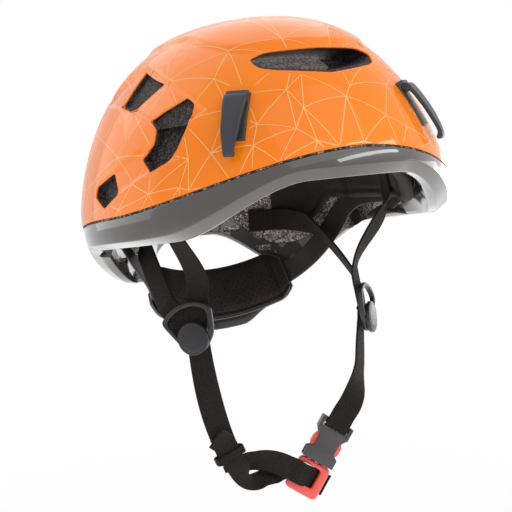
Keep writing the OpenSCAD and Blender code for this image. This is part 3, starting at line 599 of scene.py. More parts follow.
STEPS = ([k * 2.3 for k in range(18)] + [41.0 + k * 0.6 for k in range(91)]
         + [97.0 + k * 2.075 for k in range(41)])
COLUMNS = [-a for a in reversed(STEPS)] + STEPS[1:]
WALL_ROWS, RAMP_ROWS, CAP_ROWS = 100, 4, 24
UPPER_ROWS = WALL_ROWS + RAMP_ROWS + CAP_ROWS


def upper_point(a, t, in_by, seam_off=SEAM_HALF):
    """Point of the upper skin, t from 0 at its seam to 1 at the crown, with the cap's step and the relief."""
    k = t * UPPER_ROWS
    low, edge = share(level(a, SEAM) + seam_off), share(level(a, CAP))
    if k <= WALL_ROWS:
        u, lift = mix(low, edge, k / WALL_ROWS), 0.0
    elif k <= WALL_ROWS + RAMP_ROWS:
        w = (k - WALL_ROWS) / RAMP_ROWS
        u, lift = edge + CAP_RAMP * w, CAP_LIFT * w
    else:
        u, lift = mix(edge + CAP_RAMP, 1.0, (k - WALL_ROWS - RAMP_ROWS) / CAP_ROWS), CAP_LIFT
    return skin_point(a, u, in_by - lift + sunk(a, height(u)))


def clip_frame(clip, left):
    """Middle, across, outward and up of a clip's seat."""
    (a0, z0), (a1, z1) = clip
    a, z = (a0 + a1) / 2, (z0 + z1) / 2
    up = (wall_point(a1, z1, 0) - wall_point(a0, z0, 0)).normalized()
    n = wall_across(a, z, 0).cross(wall_up(a, z, 0))
    out = (n - up * n.dot(up)).normalized()
    mid = wall_point(a, z, 0)
    side = out.cross(up)

    def put(p):
        q = mid + side * p[0] + out * p[1] + up * p[2]
        return q if left else flip(q)
    return put


CLIP_SEATS = [(c, s) for c in (FRONT_CLIP, REAR_CLIP) for s in (True, False)]
SHELL_VENTS = [soft_outline(BROW_VENT, BROW_ROUND)]
for vent in SIDE_VENTS:
    SHELL_VENTS += [soft_outline(vent, VENT_ROUND), mirrored(soft_outline(vent, VENT_ROUND))]


def clip_pockets(tool):
    """Seats of the four clips."""
    for clip, left in CLIP_SEATS:
        block(tool, *CLIP_POCKET, clip_frame(clip, left))


def make_outer_skin():
    """Upper skin with its inner face and seam edge, cut through at the vents and the clips."""
    bm = bmesh.new()
    nu, nv = len(COLUMNS) - 1, UPPER_ROWS
    lay_grid(bm, nu, nv, lambda s, t: upper_point(COLUMNS[round(s * nu)], t, 0.0))
    lay_grid(bm, nu, nv, lambda s, t: upper_point(COLUMNS[round(s * nu)], t, SKIN_T))
    lay_grid(bm, nu, 1, lambda s, t: upper_point(COLUMNS[round(s * nu)], 0.0, SKIN_T * t))
    weld(bm)
    outward(bm)
    skin = finished("outer_skin", bm, ORANGE, "shell", ["outer_shell"])
    tool = bmesh.new()
    for outline in SHELL_VENTS:
        prism(tool, outline, CUT_FROM, SKIN_CUT_TO)
    clip_pockets(tool)
    cut(skin, tool)


def make_vent_lips():
    """Rolled edge of the skin round each vent."""
    wide, tall, inset, deep = 0.55, 0.62, 0.1, 0.5
    bm = bmesh.new()
    for outline in SHELL_VENTS:
        n = len(outline)
        mid = Vector((sum(a for a, z in outline) / n, sum(z for a, z in outline) / n))
        path = [wall_point(a, z, deep + sunk(a, z) - cap_lift_at(a, z)) for a, z in outline]
        inner = [wall_point(mix(a, mid.x, 0.05), mix(z, mid.y, 0.05), deep + sunk(a, z) - cap_lift_at(a, z))
                 for a, z in outline]
        normal = [wall_across(a, z, 0).cross(wall_up(a, z, 0)).normalized() for a, z in outline]

        def place(s, t):
            i = round(s * n) % n
            tangent = (path[(i + 1) % n] - path[i - 1]).normalized()
            into = normal[i].cross(tangent)
            if into.dot(inner[i] - path[i]) < 0:
                into = -into
            turn = t * 2 * math.pi
            return path[i] + into * (wide * math.cos(turn) - inset) + normal[i] * tall * math.sin(turn)

        lay_grid(bm, n, 8, place)
    weld(bm, 1e-3)
    outward(bm)
    finished("vent_lips", bm, ORANGE, "shell", sharp=80)


def cap_lift_at(a, z):
    """Height of the crown cap over the plain shell."""
    edge = share(level(a, CAP))
    return CAP_LIFT * limit((share(z) - edge) / CAP_RAMP)


# Seed, gap between points, share of lines left out, longest line in gaps, and range of half widths
LINE_SEED, LINE_GAP, LINE_LEFT_OUT, LINE_LONGEST, LINE_HALF = 41, 0.158, 0.1, 2.1, (0.20, 0.30)


def scattered_points(draw):
    """Points of a loose triangular net over a disc that stands for the shell seen from above."""
    row_step, reach = 0.866, 1.16
    points = []
    rows = int(1.2 / (LINE_GAP * row_step)) + 1
    for j in range(-rows, rows + 1):
        for i in range(-9, 10):
            x = (i + 0.5 * (j % 2) + draw.uniform(-0.36, 0.36)) * LINE_GAP
            y = (j * row_step + draw.uniform(-0.34, 0.34)) * LINE_GAP
            if math.hypot(x, y) < reach:
                points.append(Vector((x, y)))
    return points


def line_spot(at, holes, seats):
    """Place on the skin of a point of the disc, or None off the shell, in a vent or at a clip."""
    clip_reach, clip_half, vent_edge, proud = 19, 7.6, 1.0, 0.07
    r, a = at.length, math.degrees(math.atan2(at.x, -at.y))
    if not 0.02 < r < 0.997:
        return None
    u = mix(share(level(a, SEAM) + SEAM_HALF + 0.3), 1.0, 1 - r)
    z = height(u)
    near = [hole for hole in holes if abs(hole[0].x - SPREAD_A * a) < 70]
    if any(depth_inside(flat((a, z)), hole) >= -vent_edge for hole in near):
        return None
    spot = skin_point(a, u, sunk(a, z) - cap_lift_at(a, z) - proud)
    for mid, side in seats:
        if (spot - mid).length <= clip_reach and abs((spot - mid).dot(side)) <= clip_half:
            return None
    return spot


def lay_line(bm, pts, half):
    """Flat line along points of the skin."""
    last = len(pts) - 1

    def place(s, t):
        i = round(s * last)
        p = pts[i]
        along = (pts[min(i + 1, last)] - pts[max(i - 1, 0)]).normalized()
        out = Vector((p.x / HALF_W ** 2, p.y / FRONT_L ** 2, p.z / CROWN_H ** 2)).normalized()
        return p + along.cross(out).normalized() * half * (1 - 2 * t)

    lay_grid(bm, last, 1, place)


def make_printed_lines():
    """Fine pale lines that join scattered points, laid on the skin between the vents and the clips."""
    draw = random.Random(LINE_SEED)
    points = scattered_points(draw)
    edges = geometry.delaunay_2d_cdt(points, [], [], 0, 1e-6)[1]
    holes = [[flat(p) for p in outline] for outline in SHELL_VENTS]
    seats = []
    for seat in CLIP_SEATS:
        put = clip_frame(*seat)
        mid = put((0, 0, 4))
        seats.append((mid, put((1, 0, 4)) - mid))
    bm = bmesh.new()
    for i, j in sorted(tuple(sorted(e)) for e in edges):
        p, q = points[i], points[j]
        if draw.random() < LINE_LEFT_OUT or (q - p).length > LINE_LONGEST * LINE_GAP:
            continue
        count = max(4, int((q - p).length * 190 / 1.6))
        run = []
        for spot in [line_spot(p.lerp(q, k / count), holes, seats) for k in range(count + 1)] + [None]:
            if spot is not None:
                run.append(spot)
                continue
            if len(run) > 2:
                lay_line(bm, run, draw.uniform(*LINE_HALF))
            run = []
    finished("printed_lines", bm, INK, "shell", sharp=180)


# Lower skin and liner

def lower_section(a):
    """Section of the lower skin as depth and height: down the outside, round the rim and up the inside."""
    s, r = level(a, SEAM) - SEAM_HALF, level(a, RIM)
    c = r + level(a, CREASE)
    m = (s + c) / 2
    return [Vector(p) for p in (
        (0, s), (0, m), (0, c), (RIM_MID, r + 0.2), (RIM_IN - 2, r + 0.6), (RIM_IN, r + 2.5),
        (WALL_T, r + TURN_UP_H), (WALL_T - TURN_T, r + TURN_UP_H), (RIM_IN - TURN_T, r + 4.2),
        (RIM_IN - 2.8, r + 2.4), (RIM_MID + 0.6, r + 1.6), (SKIN_T, c + 0.7), (SKIN_T, m), (SKIN_T, s))]


def ring_spots(count):
    return [-180 + 360 * k / count for k in range(count + 1)]


def rim_slots(bm):
    """Small slots in the inner turn of the rim, at the back."""
    for a in RIM_SLOTS:
        low = level(a, RIM) + SLOT_UP
        left, right = a - SLOT_HALF_A, a + SLOT_HALF_A
        corners = [(left, low), (right, low), (right, low + SLOT_H), (left, low + SLOT_H)]
        for outline in (corners, mirrored(corners)):
            prism(bm, soft_outline(outline, SLOT_ROUND, 4.0), WALL_T + 6, WALL_T - 9)


def tab_pockets(bm):
    """Room for the headband at both temples."""
    for side in (1, -1):
        block(bm, *TAB_POCKET, lambda p: Vector((p[0] * side, p[1], p[2])))


def make_lower_skin():
    """Lower skin that wraps the rim, with its slots and the pockets of the headband's tabs."""
    steps = 240
    spots = ring_spots(steps)
    sections = {a: [wall_point(a, p.y, p.x) for p in rounded(lower_section(a), 0.55)] for a in spots}
    count = len(sections[0.0])
    bm = bmesh.new()
    lay_grid(bm, steps, count, lambda s, t: sections[spots[round(s * steps)]][round(t * count) % count])
    weld(bm)
    outward(bm)
    skin = finished("lower_skin", bm, RIM_GREY, "shell", ["lower_shell"], sharp=50)
    tool = bmesh.new()
    rim_slots(tool)
    tab_pockets(tool)
    cut(skin, tool)


def make_liner():
    """Foam between the skins and the head's cavity, with its vents, clip seats and tab pockets."""
    steps, outer_rows, inner_rows = 180, 57, 36
    spots = ring_spots(steps)
    outer_in = SKIN_T + FOAM_GAP

    def lower(a):
        section = lower_section(a)
        return [(p.x + (FOAM_GAP if p.x < 2 else 0.0), p.y) for p in (section[k] for k in range(12, 6, -1))]

    def inner(a, t):
        low = share(level(a, RIM) + TURN_UP_H, CROWN_H - WALL_T)
        return skin_point(a, mix(low, 1.0, t), WALL_T)

    edges = {a: [upper_point(a, 0.0, outer_in, 0.0)] + [wall_point(a, z, d) for d, z in lower(a)]
             + [inner(a, 0.0)] for a in spots}
    last = len(edges[0.0]) - 1
    bm = bmesh.new()
    lay_grid(bm, steps, outer_rows, lambda s, t: upper_point(spots[round(s * steps)], t, outer_in, 0.0))
    lay_grid(bm, steps, last, lambda s, t: edges[spots[round(s * steps)]][round(t * last)])
    lay_grid(bm, steps, inner_rows, lambda s, t: inner(spots[round(s * steps)], t))
    weld(bm)
    outward(bm)
    liner = finished("bead_liner", bm, FOAM, "shell", ["foam_liner"])
    tool = bmesh.new()
    prism(tool, soft_outline(BROW_VENT, BROW_ROUND), CUT_FROM, WALL_T + 9, BROW_TAPER, BROW_RISE)
    for vent, depth in FOAM_POCKETS:
        outline = soft_outline(vent, FOAM_VENT_ROUND)
        prism(tool, outline, -1, depth, POCKET_TAPER)
        prism(tool, mirrored(outline), -1, depth, POCKET_TAPER)
    clip_pockets(tool)
    tab_pockets(tool)
    cut(liner, tool)


def make_seam_foam():
    """Line of beads that shows between the two skins."""
    steps, radius, deep = 360, 0.62, 0.95
    spots = ring_spots(steps)
    bm = bmesh.new()

    def place(s, t):
        a = spots[round(s * steps)]
        turn = 2 * math.pi * t
        return wall_point(a, level(a, SEAM) + radius * math.sin(turn), deep - radius * math.cos(turn))

    lay_grid(bm, steps, 8, place)
    weld(bm)
    outward(bm)
    finished("seam_foam", bm, SEAM_FOAM, "shell", sharp=180)


# Headlamp clips

# Side view of a clip's arm as distance out and height, from its root round the tip and back
CLIP_PROFILE = [(1.7, 14.3), (3.4, 14.7), (4.9, 13.9), (5.7, 12), (6.4, 8), (7.0, 3), (7.5, -3), (7.6, -9),
                (7.3, -15), (6.8, -19.5), (5.8, -22.6), (4.6, -23.6), (3.0, -23.4), (1.9, -22.4), (2.1, -21),
                (3.4, -20.4), (4.5, -19), (5.0, -15), (5.2, -9), (5.1, -3), (4.6, 3), (4.1, 7.4), (3.2, 9.4),
                (1.8, 9.7), (0.7, 10.7), (0.45, 12.3), (0.8, 13.6)]
ROOT_HALF, BLADE_HALF, TIP_HALF, BLADE_Z = 6.5, 5.5, 2.9, -5


def make_clip(name, clip, left):
    """Spring arm: a rounded bend at its root, a tapering blade and a small hook at its tip."""
    layers = 6
    bm = bmesh.new()
    outline = rounded([Vector(p) for p in CLIP_PROFILE], 0.8, 2)
    face = bm.faces.new([bm.verts.new((-1, y, z)) for y, z in outline])
    for _ in range(layers):
        made = bmesh.ops.extrude_face_region(bm, geom=[face])["geom"]
        face = next(g for g in made if isinstance(g, bmesh.types.BMFace))
        bmesh.ops.translate(bm, verts=face.verts[:], vec=(2 / layers, 0, 0))
    for v in bm.verts:
        z = v.co.z
        if z > BLADE_Z:
            v.co.x *= mix(ROOT_HALF, BLADE_HALF, ease((9 - z) / 14))
        else:
            v.co.x *= mix(BLADE_HALF, TIP_HALF, ease((BLADE_Z - z) / 19))
    rims = {e for f in bm.faces if len(f.verts) > 4 for e in f.edges}
    round_edges(bm, list(rims), 0.5, 2)
    set_in_place(bm, clip_frame(clip, left))
    finished(name + "_arm", bm, CLIP, name, [name], sharp=50)


# Webbing and bands

def tape_section(width, thick, across=8, turn=4):
    """Half-round edged section of a tape, as places across and through it."""
    w, h = width / 2 - thick / 2, thick / 2
    pts = [(mix(-w, w, k / across), -h) for k in range(across)]
    pts += [(w + h * math.sin(math.pi * k / turn), -h * math.cos(math.pi * k / turn)) for k in range(turn)]
    pts += [(mix(w, -w, k / across), h) for k in range(across)]
    pts += [(-w - h * math.sin(math.pi * k / turn), h * math.cos(math.pi * k / turn)) for k in range(turn)]
    return pts


def lay_tape(bm, path, across, width, thick, narrow=None, per=6):
    """Band along a path, its width along the across directions, with its own UV in millimetres."""
    pts, way = smooth_path(path, per), smooth_path(across, per)
    last = len(pts) - 1
    run = lengths(pts)
    section = tape_section(width, thick)
    count = len(section)
    frames = []
    for i, p in enumerate(pts):
        t = (pts[min(i + 1, last)] - pts[max(i - 1, 0)]).normalized()
        w = (way[i] - t * way[i].dot(t)).normalized()
        frames.append((p, w, t.cross(w)))

    def place(s, t):
        i = round(s * last)
        p, w, d = frames[i]
        x, y = section[round(t * count) % count]
        k = narrow(run[i] / run[-1]) if narrow else 1.0
        return p + w * x * k + d * y

    def uv_at(s, t):
        return run[round(s * last)], section[round(t * count) % count][0]

    made = lay_grid(bm, last, count, place, "tape", uv_at)
    bmesh.ops.remove_doubles(bm, verts=made, dist=1e-4)
    close_ends(bm)


def lay_tube(bm, pts, radius, sides=8):
    """Round cord along a closed line of points."""
    n = len(pts)

    def place(s, t):
        i = round(s * n) % n
        along = (pts[(i + 1) % n] - pts[i - 1]).normalized()
        side = along.orthogonal() if abs(along.z) > 0.95 else along.cross(Vector((0, 0, 1)))
        side.normalize()
        turn = 2 * math.pi * t
        return pts[i] + side * radius * math.cos(turn) + along.cross(side) * radius * math.sin(turn)

    made = lay_grid(bm, n, sides, place)
    bmesh.ops.remove_doubles(bm, verts=made, dist=1e-4)


def vec(*p):
    return Vector(p)


WEB_W, WEB_T, LAYER = 15, 1.4, 0.3
RIGHT_DIVIDER, LEFT_DIVIDER = vec(-63, -25, -67), vec(56, -25, -70)
DIVIDER_T, DIVIDER_TURN = 2.4, math.radians(46)
FRONT_ANCHOR, REAR_ANCHOR = (72, 31), (151, -12.5)
STRAP_IN = DIVIDER_T / 2 + LAYER + WEB_T / 2
STRAP_OFF = WALL_T + 1.4 + 2.4 + 0.3 + WEB_T / 2
OVER_PAD = WALL_T + PAD_GAP + WALL_PAD_T + 0.6 + WEB_T / 2
CHIN_TOP = (0.5, STRAP_IN + WEB_T / 2 + LAYER / 2, -9)
# Width directions of the left straps where they hang free
FACE_TURN, EDGE_ON = vec(0.878, 0.479, 0), vec(0.726, 0.688, 0)


def at_divider(c, p):
    """Point given across, through and up a right divider."""
    co, si = math.cos(DIVIDER_TURN), math.sin(DIVIDER_TURN)
    return Vector(c) + vec(p[0] * co + p[1] * si, p[1] * co - p[0] * si, p[2])


def divider_way(p):
    return at_divider((0, 0, 0), p)


def front_strap_path(c):
    """Right front strap from its anchor over the pad to the divider, and its width directions."""
    a, z = -FRONT_ANCHOR[0], FRONT_ANCHOR[1]
    low = level(a, PAD_LOW)
    hung = [wall_point(a, z + 5, STRAP_OFF), wall_point(a, z - 4, STRAP_OFF + 1),
            wall_point(a, low + 2 * PAD_HALF_H, OVER_PAD - 2),
            wall_point(a, low + 1.7 * PAD_HALF_H, OVER_PAD),
            wall_point(a, low + 0.7 * PAD_HALF_H, OVER_PAD + 0.4),
            wall_point(a, low + 2, OVER_PAD + 0.4)]
    foot = [at_divider(c, (4, STRAP_IN + 1.2, 15)), at_divider(c, (0.5, STRAP_IN, -6))]
    curve = [hung[5], hung[5] + (hung[5] - hung[4]).normalized() * 16,
             foot[0] + (foot[0] - foot[1]).normalized() * 18, foot[0]]
    path = hung + [bezier(curve, i / 8) for i in range(1, 9)] + [foot[1]]
    top = wall_across(a, 0, WALL_T)
    return path, [mix(top, divider_way((1, 0, -0.2)), ease((i - 5) / 8)) for i in range(len(path))]


def rear_strap_path(c):
    """Right rear strap from its anchor to behind the divider, and its width directions."""
    a, z = -REAR_ANCHOR[0], REAR_ANCHOR[1]
    y_in = STRAP_IN + WEB_T + 2 * LAYER
    head = [wall_point(a - 4, z, STRAP_OFF), wall_point(a + 4, z - 0.3, STRAP_OFF + 0.4),
            wall_point(a + 13, z - 1, STRAP_OFF + 3.2), wall_point(a + 25, z - 5, STRAP_OFF + 8.6)]
    foot = [at_divider(c, p) for p in ((-18.5, y_in + 2.6, 7.5), (-9, y_in, -4), (-7.5, y_in + 1, -9.5),
                                       (-5, y_in + 1.1, -15))]
    curve = [head[3], head[3] + (head[3] - head[2]).normalized() * 14,
             foot[0] + (foot[0] - foot[1]).normalized() * 5, foot[0]]
    path = head + [bezier(curve, i / 8) for i in range(1, 9)] + foot[1:]
    top = wall_up(a, z, WALL_T)
    across = [mix(top, divider_way((0.65, 0, 0.76)), ease((i - 1) / 4.5)) for i in range(13)]
    return path, across + [divider_way((0.9, 0, 0.44)), divider_way((1, 0, 0.1))]


BUCKLE_AT, LEAN, TURN = vec(6, -30, -166), math.radians(36), math.radians(20)
SOCKET_L, PLUG_L, PLUG_T, BUCKLE_T = 28, 21, 5, 9
SOCKET_BAR_T = BUCKLE_T - 2.6
KEEPER_AT, KEEPER_LEAN, KEEPER_H = vec(-51.5, -30, -151.5), math.radians(20), 7
TAIL_LOW, RUN_TILT = vec(-31, -24, -171.4), vec(0, 0.9, 0.44)
KEEPER_WAY = vec(math.sin(KEEPER_LEAN), 0, -math.cos(KEEPER_LEAN))
KEEPER_ACROSS = vec(math.cos(KEEPER_LEAN), 0, math.sin(KEEPER_LEAN))
CHIN_T, KEEPER_END = 2 * WEB_T, KEEPER_H / 2 + 0.5
PLUG_MID, PLUG_FRONT = -PLUG_L / 2 - 0.4, -PLUG_T / 2 - LAYER - WEB_T / 2


def buckle_way(p):
    """Direction given across, through and along the chin buckle."""
    x = p[0] * math.cos(LEAN) + p[2] * math.sin(LEAN)
    z = p[2] * math.cos(LEAN) - p[0] * math.sin(LEAN)
    return vec(x * math.cos(TURN) + p[1] * math.sin(TURN), p[1] * math.cos(TURN) - x * math.sin(TURN), z)


def at_buckle(p):
    return BUCKLE_AT + buckle_way(p)


def tape_piece(name, path, across, width=WEB_W, thick=WEB_T, ride=True):
    bm = bmesh.new()
    lay_tape(bm, path, across, width, thick)
    outward(bm)
    return finished(name + "_tape", bm, TAPE, "shell", [name], sharp=60, ride=ride)


def make_straps():
    """Front and rear straps to the dividers, and the chin straps from there to the keeper and the socket."""
    path, across = front_strap_path(RIGHT_DIVIDER)
    tape_piece("right_front_strap", path, across)
    path, across = front_strap_path(flip(LEFT_DIVIDER))
    across = [flip(p) for p in across]
    # the free run turns its face forward before it meets the divider
    for i, turned in enumerate((0.45, 0.85, 1.0, 0.95, 0.75, 0.4), 6):
        across[i] = mix(across[i], FACE_TURN * (1 if across[i].dot(FACE_TURN) > 0 else -1), turned)
    tape_piece("left_front_strap", [flip(p) for p in path], across)
    path, across = rear_strap_path(RIGHT_DIVIDER)
    tape_piece("right_rear_strap", path, across)
    path, across = rear_strap_path(flip(LEFT_DIVIDER))
    tape_piece("left_rear_strap", [flip(p) for p in path], [flip(p) for p in across])

    top = at_divider(RIGHT_DIVIDER, CHIN_TOP)
    curve = [top, top + vec(1, 0, -30), KEEPER_AT - KEEPER_WAY * 26, KEEPER_AT + KEEPER_WAY * KEEPER_END]
    across = [mix(divider_way((1, 0, 0)), KEEPER_ACROSS, ease(i / 10)) for i in range(11)]
    tape_piece("right_chin_strap", [bezier(curve, i / 10) for i in range(11)], across, WEB_W, CHIN_T)

    top = flip(at_divider(flip(LEFT_DIVIDER), CHIN_TOP))
    side = flip(divider_way((-1, 0, 0)))
    front = -SOCKET_BAR_T / 2 - LAYER - WEB_T / 2
    foot = [at_buckle(p) for p in ((0, front, SOCKET_L + 6), (0, front, SOCKET_L - 4), (0, -1, SOCKET_L - 5))]
    curve = [top, top + vec(-6, 0, -26), foot[0] + buckle_way((3, 0, 22)), foot[0]]
    path = [bezier(curve, i / 10) for i in range(11)] + foot[1:]
    across = [mix(mix(side, EDGE_ON, ease((i - 1) / 3)), buckle_way((1, 0, 0)), ease((i - 4.5) / 5))
              for i in range(13)]
    tape_piece("left_chin_strap", path, across)


def make_chin_runs():
    """The two runs of webbing between the keeper and the plug."""
    over = PLUG_FRONT - WEB_T - 2 * LAYER
    tilt = vec(0, -0.5, 0.86)
    start = KEEPER_AT + KEEPER_WAY * (KEEPER_END + 3 * LAYER) + vec(0, 0.4, 0)
    foot = [at_buckle(p) for p in ((-12, over, PLUG_MID), (-6.2, over, PLUG_MID), (2.4, 0.2, PLUG_MID),
                                   (6, -PLUG_FRONT - 0.1, PLUG_MID), (13.5, -PLUG_FRONT, PLUG_MID))]
    curve = [start + KEEPER_WAY * 2.6, start + KEEPER_WAY * 5 + vec(0, 4, 0),
             foot[0] - buckle_way((24, 0, 0)), foot[0]]
    path = [start] + [bezier(curve, i / 9) for i in range(10)] + foot[1:]
    across = [mix(KEEPER_ACROSS, tilt, ease((i - 2) / 5)) if i < 7
              else mix(tilt, buckle_way((0, 0, 1)), ease((i - 5) / 4)) for i in range(15)]
    loop = tape_piece("chin_loop", path, across, WEB_W - 1, WEB_T, ride=False)
    tuple(path[3] * MM)
    tuple(path[10] * MM)
    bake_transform(loop)

    lift = vec(0, -CHIN_T / 2 - 1.6 * LAYER - WEB_T / 2, 0)
    begin = [at_buckle((-5.6, PLUG_FRONT, PLUG_MID)), at_buckle((-12, PLUG_FRONT, PLUG_MID))]
    held = KEEPER_AT + lift
    tip = held - KEEPER_WAY * 6
    right = [begin[1], begin[1] - buckle_way((6, -5, 1)), TAIL_LOW + vec(12, 4.5, -0.4), TAIL_LOW]
    left = [TAIL_LOW, TAIL_LOW + vec(-10, -6, -1.4), held + KEEPER_WAY * 12 - vec(0, 4, 0),
            held + KEEPER_WAY * 3.8]
    path = ([begin[0]] + [bezier(right, i / 6) for i in range(7)] + [bezier(left, i / 6) for i in range(1, 7)]
            + [held, tip, tip + vec(-3.5, -1.5, 3.5), tip + vec(-7.5, -3.5, 6.5)])
    across = [mix(buckle_way((0, 0, 1)), RUN_TILT, ease((i - 3) / 4)) if i < 7
              else mix(RUN_TILT, KEEPER_ACROSS, ease((i - 7.4) / 4.4)) for i in range(len(path))]
    tail = tape_piece("chin_tail", path, across, WEB_W - 1, WEB_T, ride=False)
    tuple(path[12] * MM)
    tuple(path[2] * MM)
    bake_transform(tail)


# Headband, nape cradle and pads

TAB_X, PIVOT_Y, PIVOT_Z = 92.6, -10, -3
BAND_NAPE = vec(0, 93, -62)
BAND_CURVE = [vec(TAB_X, PIVOT_Y + 6, PIVOT_Z + 1), vec(TAB_X - 6.5, PIVOT_Y + 48, PIVOT_Z - 27),
              vec(58, 93, -62), BAND_NAPE]
BAND_T, BAND_H, NAPE_H, NAPE_T, CRADLE_DROP = 1.4, 16, 36, 9, 6
BAND_STEPS, TAB_R, TAB_T, CRADLE_T, CRADLE_GAP = 14, 12, 1.8, 2.0, 1.7
NAPE_FROM = 9 / BAND_STEPS
BAND_SPOTS = [BAND_CURVE[0]] + [vec(TAB_X, PIVOT_Y, PIVOT_Z) + vec(*p) for p in
                                ((-1.6, 21, 1.2), (-4.8, 36, -0.2), (-9.8, 48.6, -7.4), (-18.8, 55.5, -22),
                                 (-31.1, 66.5, -37.5))]
BAND_SPOTS += [bezier(BAND_CURVE, NAPE_FROM), bezier(BAND_CURVE, NAPE_FROM * 7 / 6)]


def curve_through(p, u):
    """Smooth curve through listed points, the last of which only guides its end."""
    i = max(0, min(math.floor(u), len(p) - 3))
    f = u - i
    a, b, c, d = p[max(i - 1, 0)], p[i], p[i + 1], p[i + 2]
    return (b * 2 + (c - a) * f + (a * 2 - b * 5 + c * 4 - d) * f ** 2 + (b * 3 - a - c * 3 + d) * f ** 3) / 2


def side_point(s):
    return curve_through(BAND_SPOTS, s / NAPE_FROM * 6) if s < NAPE_FROM else bezier(BAND_CURVE, s)


def band_point(s):
    return side_point(s) if s <= 1 else flip(side_point(2 - s))


def band_up(s):
    k = s if s <= 1 else 2 - s
    return vec(0, mix(0.55, 0.25, k), mix(0.83, 0.97, k)).normalized()


def band_along(s):
    return (band_point(s + 0.01) - band_point(s - 0.01)).normalized()


def band_wide(s):
    t = band_along(s)
    return (band_up(s) - t * band_up(s).dot(t)).normalized()


def band_in(s):
    return band_wide(s).cross(band_along(s))


def make_headband():
    """Strip from temple to temple round the nape, with a round tab at each stud."""
    bm = bmesh.new()
    steps = 8 * BAND_STEPS
    spots = [2 * i / steps for i in range(steps + 1)]
    lay_tape(bm, [band_point(s) for s in spots], [band_up(s) for s in spots], BAND_H, BAND_T, per=2)
    for side in (1, -1):
        turned = Matrix.Translation((side * TAB_X, PIVOT_Y, PIVOT_Z)) @ Matrix.Rotation(math.pi / 2, 4, "Y")
        bmesh.ops.create_cone(bm, cap_ends=True, segments=48, radius1=TAB_R, radius2=TAB_R, depth=TAB_T,
                              matrix=turned)
    outward(bm)
    finished("headband_strip", bm, BAND, "headband", ["headband"])


def cradle_taper(s):
    """Share of the cradle's width at a share of its length: full in the middle, round at the ends."""
    off = abs(2 * s - 1)
    return mix(1.0, 0.6, ease((off - 0.3) / 0.35)) * (1 - 0.6 * limit((off - 0.8) / 0.2) ** 2)


def make_cradle():
    """Plastic shell behind and below the nape pad."""
    bm = bmesh.new()
    spots = [1 + (i / 2 - 5) / BAND_STEPS for i in range(21)]
    path = [band_point(s) - band_in(s) * (BAND_T / 2 + CRADLE_GAP) - band_wide(s) * CRADLE_DROP
            for s in spots]
    lay_tape(bm, path, [band_wide(s) for s in spots], NAPE_H, CRADLE_T, cradle_taper, 2)
    outward(bm)
    finished("nape_cradle_shell", bm, CRADLE, "headband", ["nape_cradle"])


# Section of a pad as shares of its depth and of half its height, round from its back's lower edge
PAD_SECTION = [(0, -0.93), (0.3, -1), (0.72, -0.95), (0.95, -0.75), (1, -0.35), (1, 0), (1, 0.35),
               (0.95, 0.75), (0.72, 0.95), (0.3, 1), (0, 0.93)]
COVER_DEEP, COVER_TALL = 9, 17
SWELL_PRESSURE, SWELL_MOST, SWELL_FRAMES = 4.0, 0.0009, 20
WALL_SEAMS, NAPE_SEAMS = (-104, -58, 0, 58, 104), (0.75, 9.25)
WALL_BACK_IN, NAPE_BACK_Y = WALL_T + PAD_GAP + 2.2, 88.0


def swell_cloth(piece, pinned, pressure, cap):
    """Lets a cover swell under pressure by no more than cap, with the pinned points held, and keeps it so."""
    scene = bpy.context.scene
    mesh = piece.data
    rest = [v.co.copy() for v in mesh.vertices]
    group = piece.vertex_groups.new(name="sewn")
    group.add(pinned, 1.0, "REPLACE")
    cloth = piece.modifiers.new("swell", "CLOTH")
    s = cloth.settings
    s.quality, s.mass = 6, 0.2
    s.tension_stiffness = s.compression_stiffness = 8
    s.bending_stiffness = 0.3
    s.use_pressure, s.uniform_pressure_force = True, pressure
    s.effector_weights.gravity = 0
    s.vertex_group_mass = "sewn"
    cloth.collision_settings.use_collision = False
    cloth.point_cache.frame_start, cloth.point_cache.frame_end = 1, SWELL_FRAMES
    for f in range(1, SWELL_FRAMES + 1):
        scene.frame_set(f)
    done = piece.evaluated_get(bpy.context.evaluated_depsgraph_get())
    moved = [v.co.copy() for v in done.data.vertices]
    piece.modifiers.remove(cloth)
    piece.vertex_groups.remove(group)
    scene.frame_set(1)
    for v, p, q in zip(mesh.vertices, rest, moved):
        d = q - p
        v.co = p + (d * (cap / d.length) if d.length > cap else d)


def make_pad(name, node_name, place, body, look, nu):
    """Padded cover: a closed grid round the pad's section, laid out by place and not yet swelled."""
    section = smooth_path([Vector(p) for p in PAD_SECTION], 4)
    ring = section + [section[-1].lerp(section[0], k / 6) for k in range(1, 6)]
    count = len(ring)
    front = ring[20]
    along = lengths([place(i / nu, front) for i in range(nu + 1)])
    around = lengths([Vector((p.x * COVER_DEEP, p.y * COVER_TALL)) for p in ring + ring[:1]])
    bm = bmesh.new()
    lay_grid(bm, nu, count, lambda s, t: place(s, ring[round(t * count) % count]), "cloth",
             lambda s, t: (along[round(s * nu)], around[round(t * count)]))
    weld(bm)
    close_ends(bm)
    outward(bm)
    return finished(name, bm, look, body, [node_name], sharp=180, ride=False)


def stitch(off, width, depth):
    """How far a sewn line draws the cover in, at a distance from it."""
    return depth * math.exp(-(off / width) ** 2)


def pad_ends(e, end_tall=0.86):
    """Share of a pad's depth and of its height at a number of steps from its end."""
    return mix(0.45, 1.0, ease(e / 2.0)), mix(end_tall, 1.0, math.sin(math.pi / 2 * limit(e / 1.6)))


def pad_thick(a):
    """Thickness of the wall pad, less behind the ears."""
    return WALL_PAD_T * (1 - 0.45 * ease((abs(a) - 100) / 22))


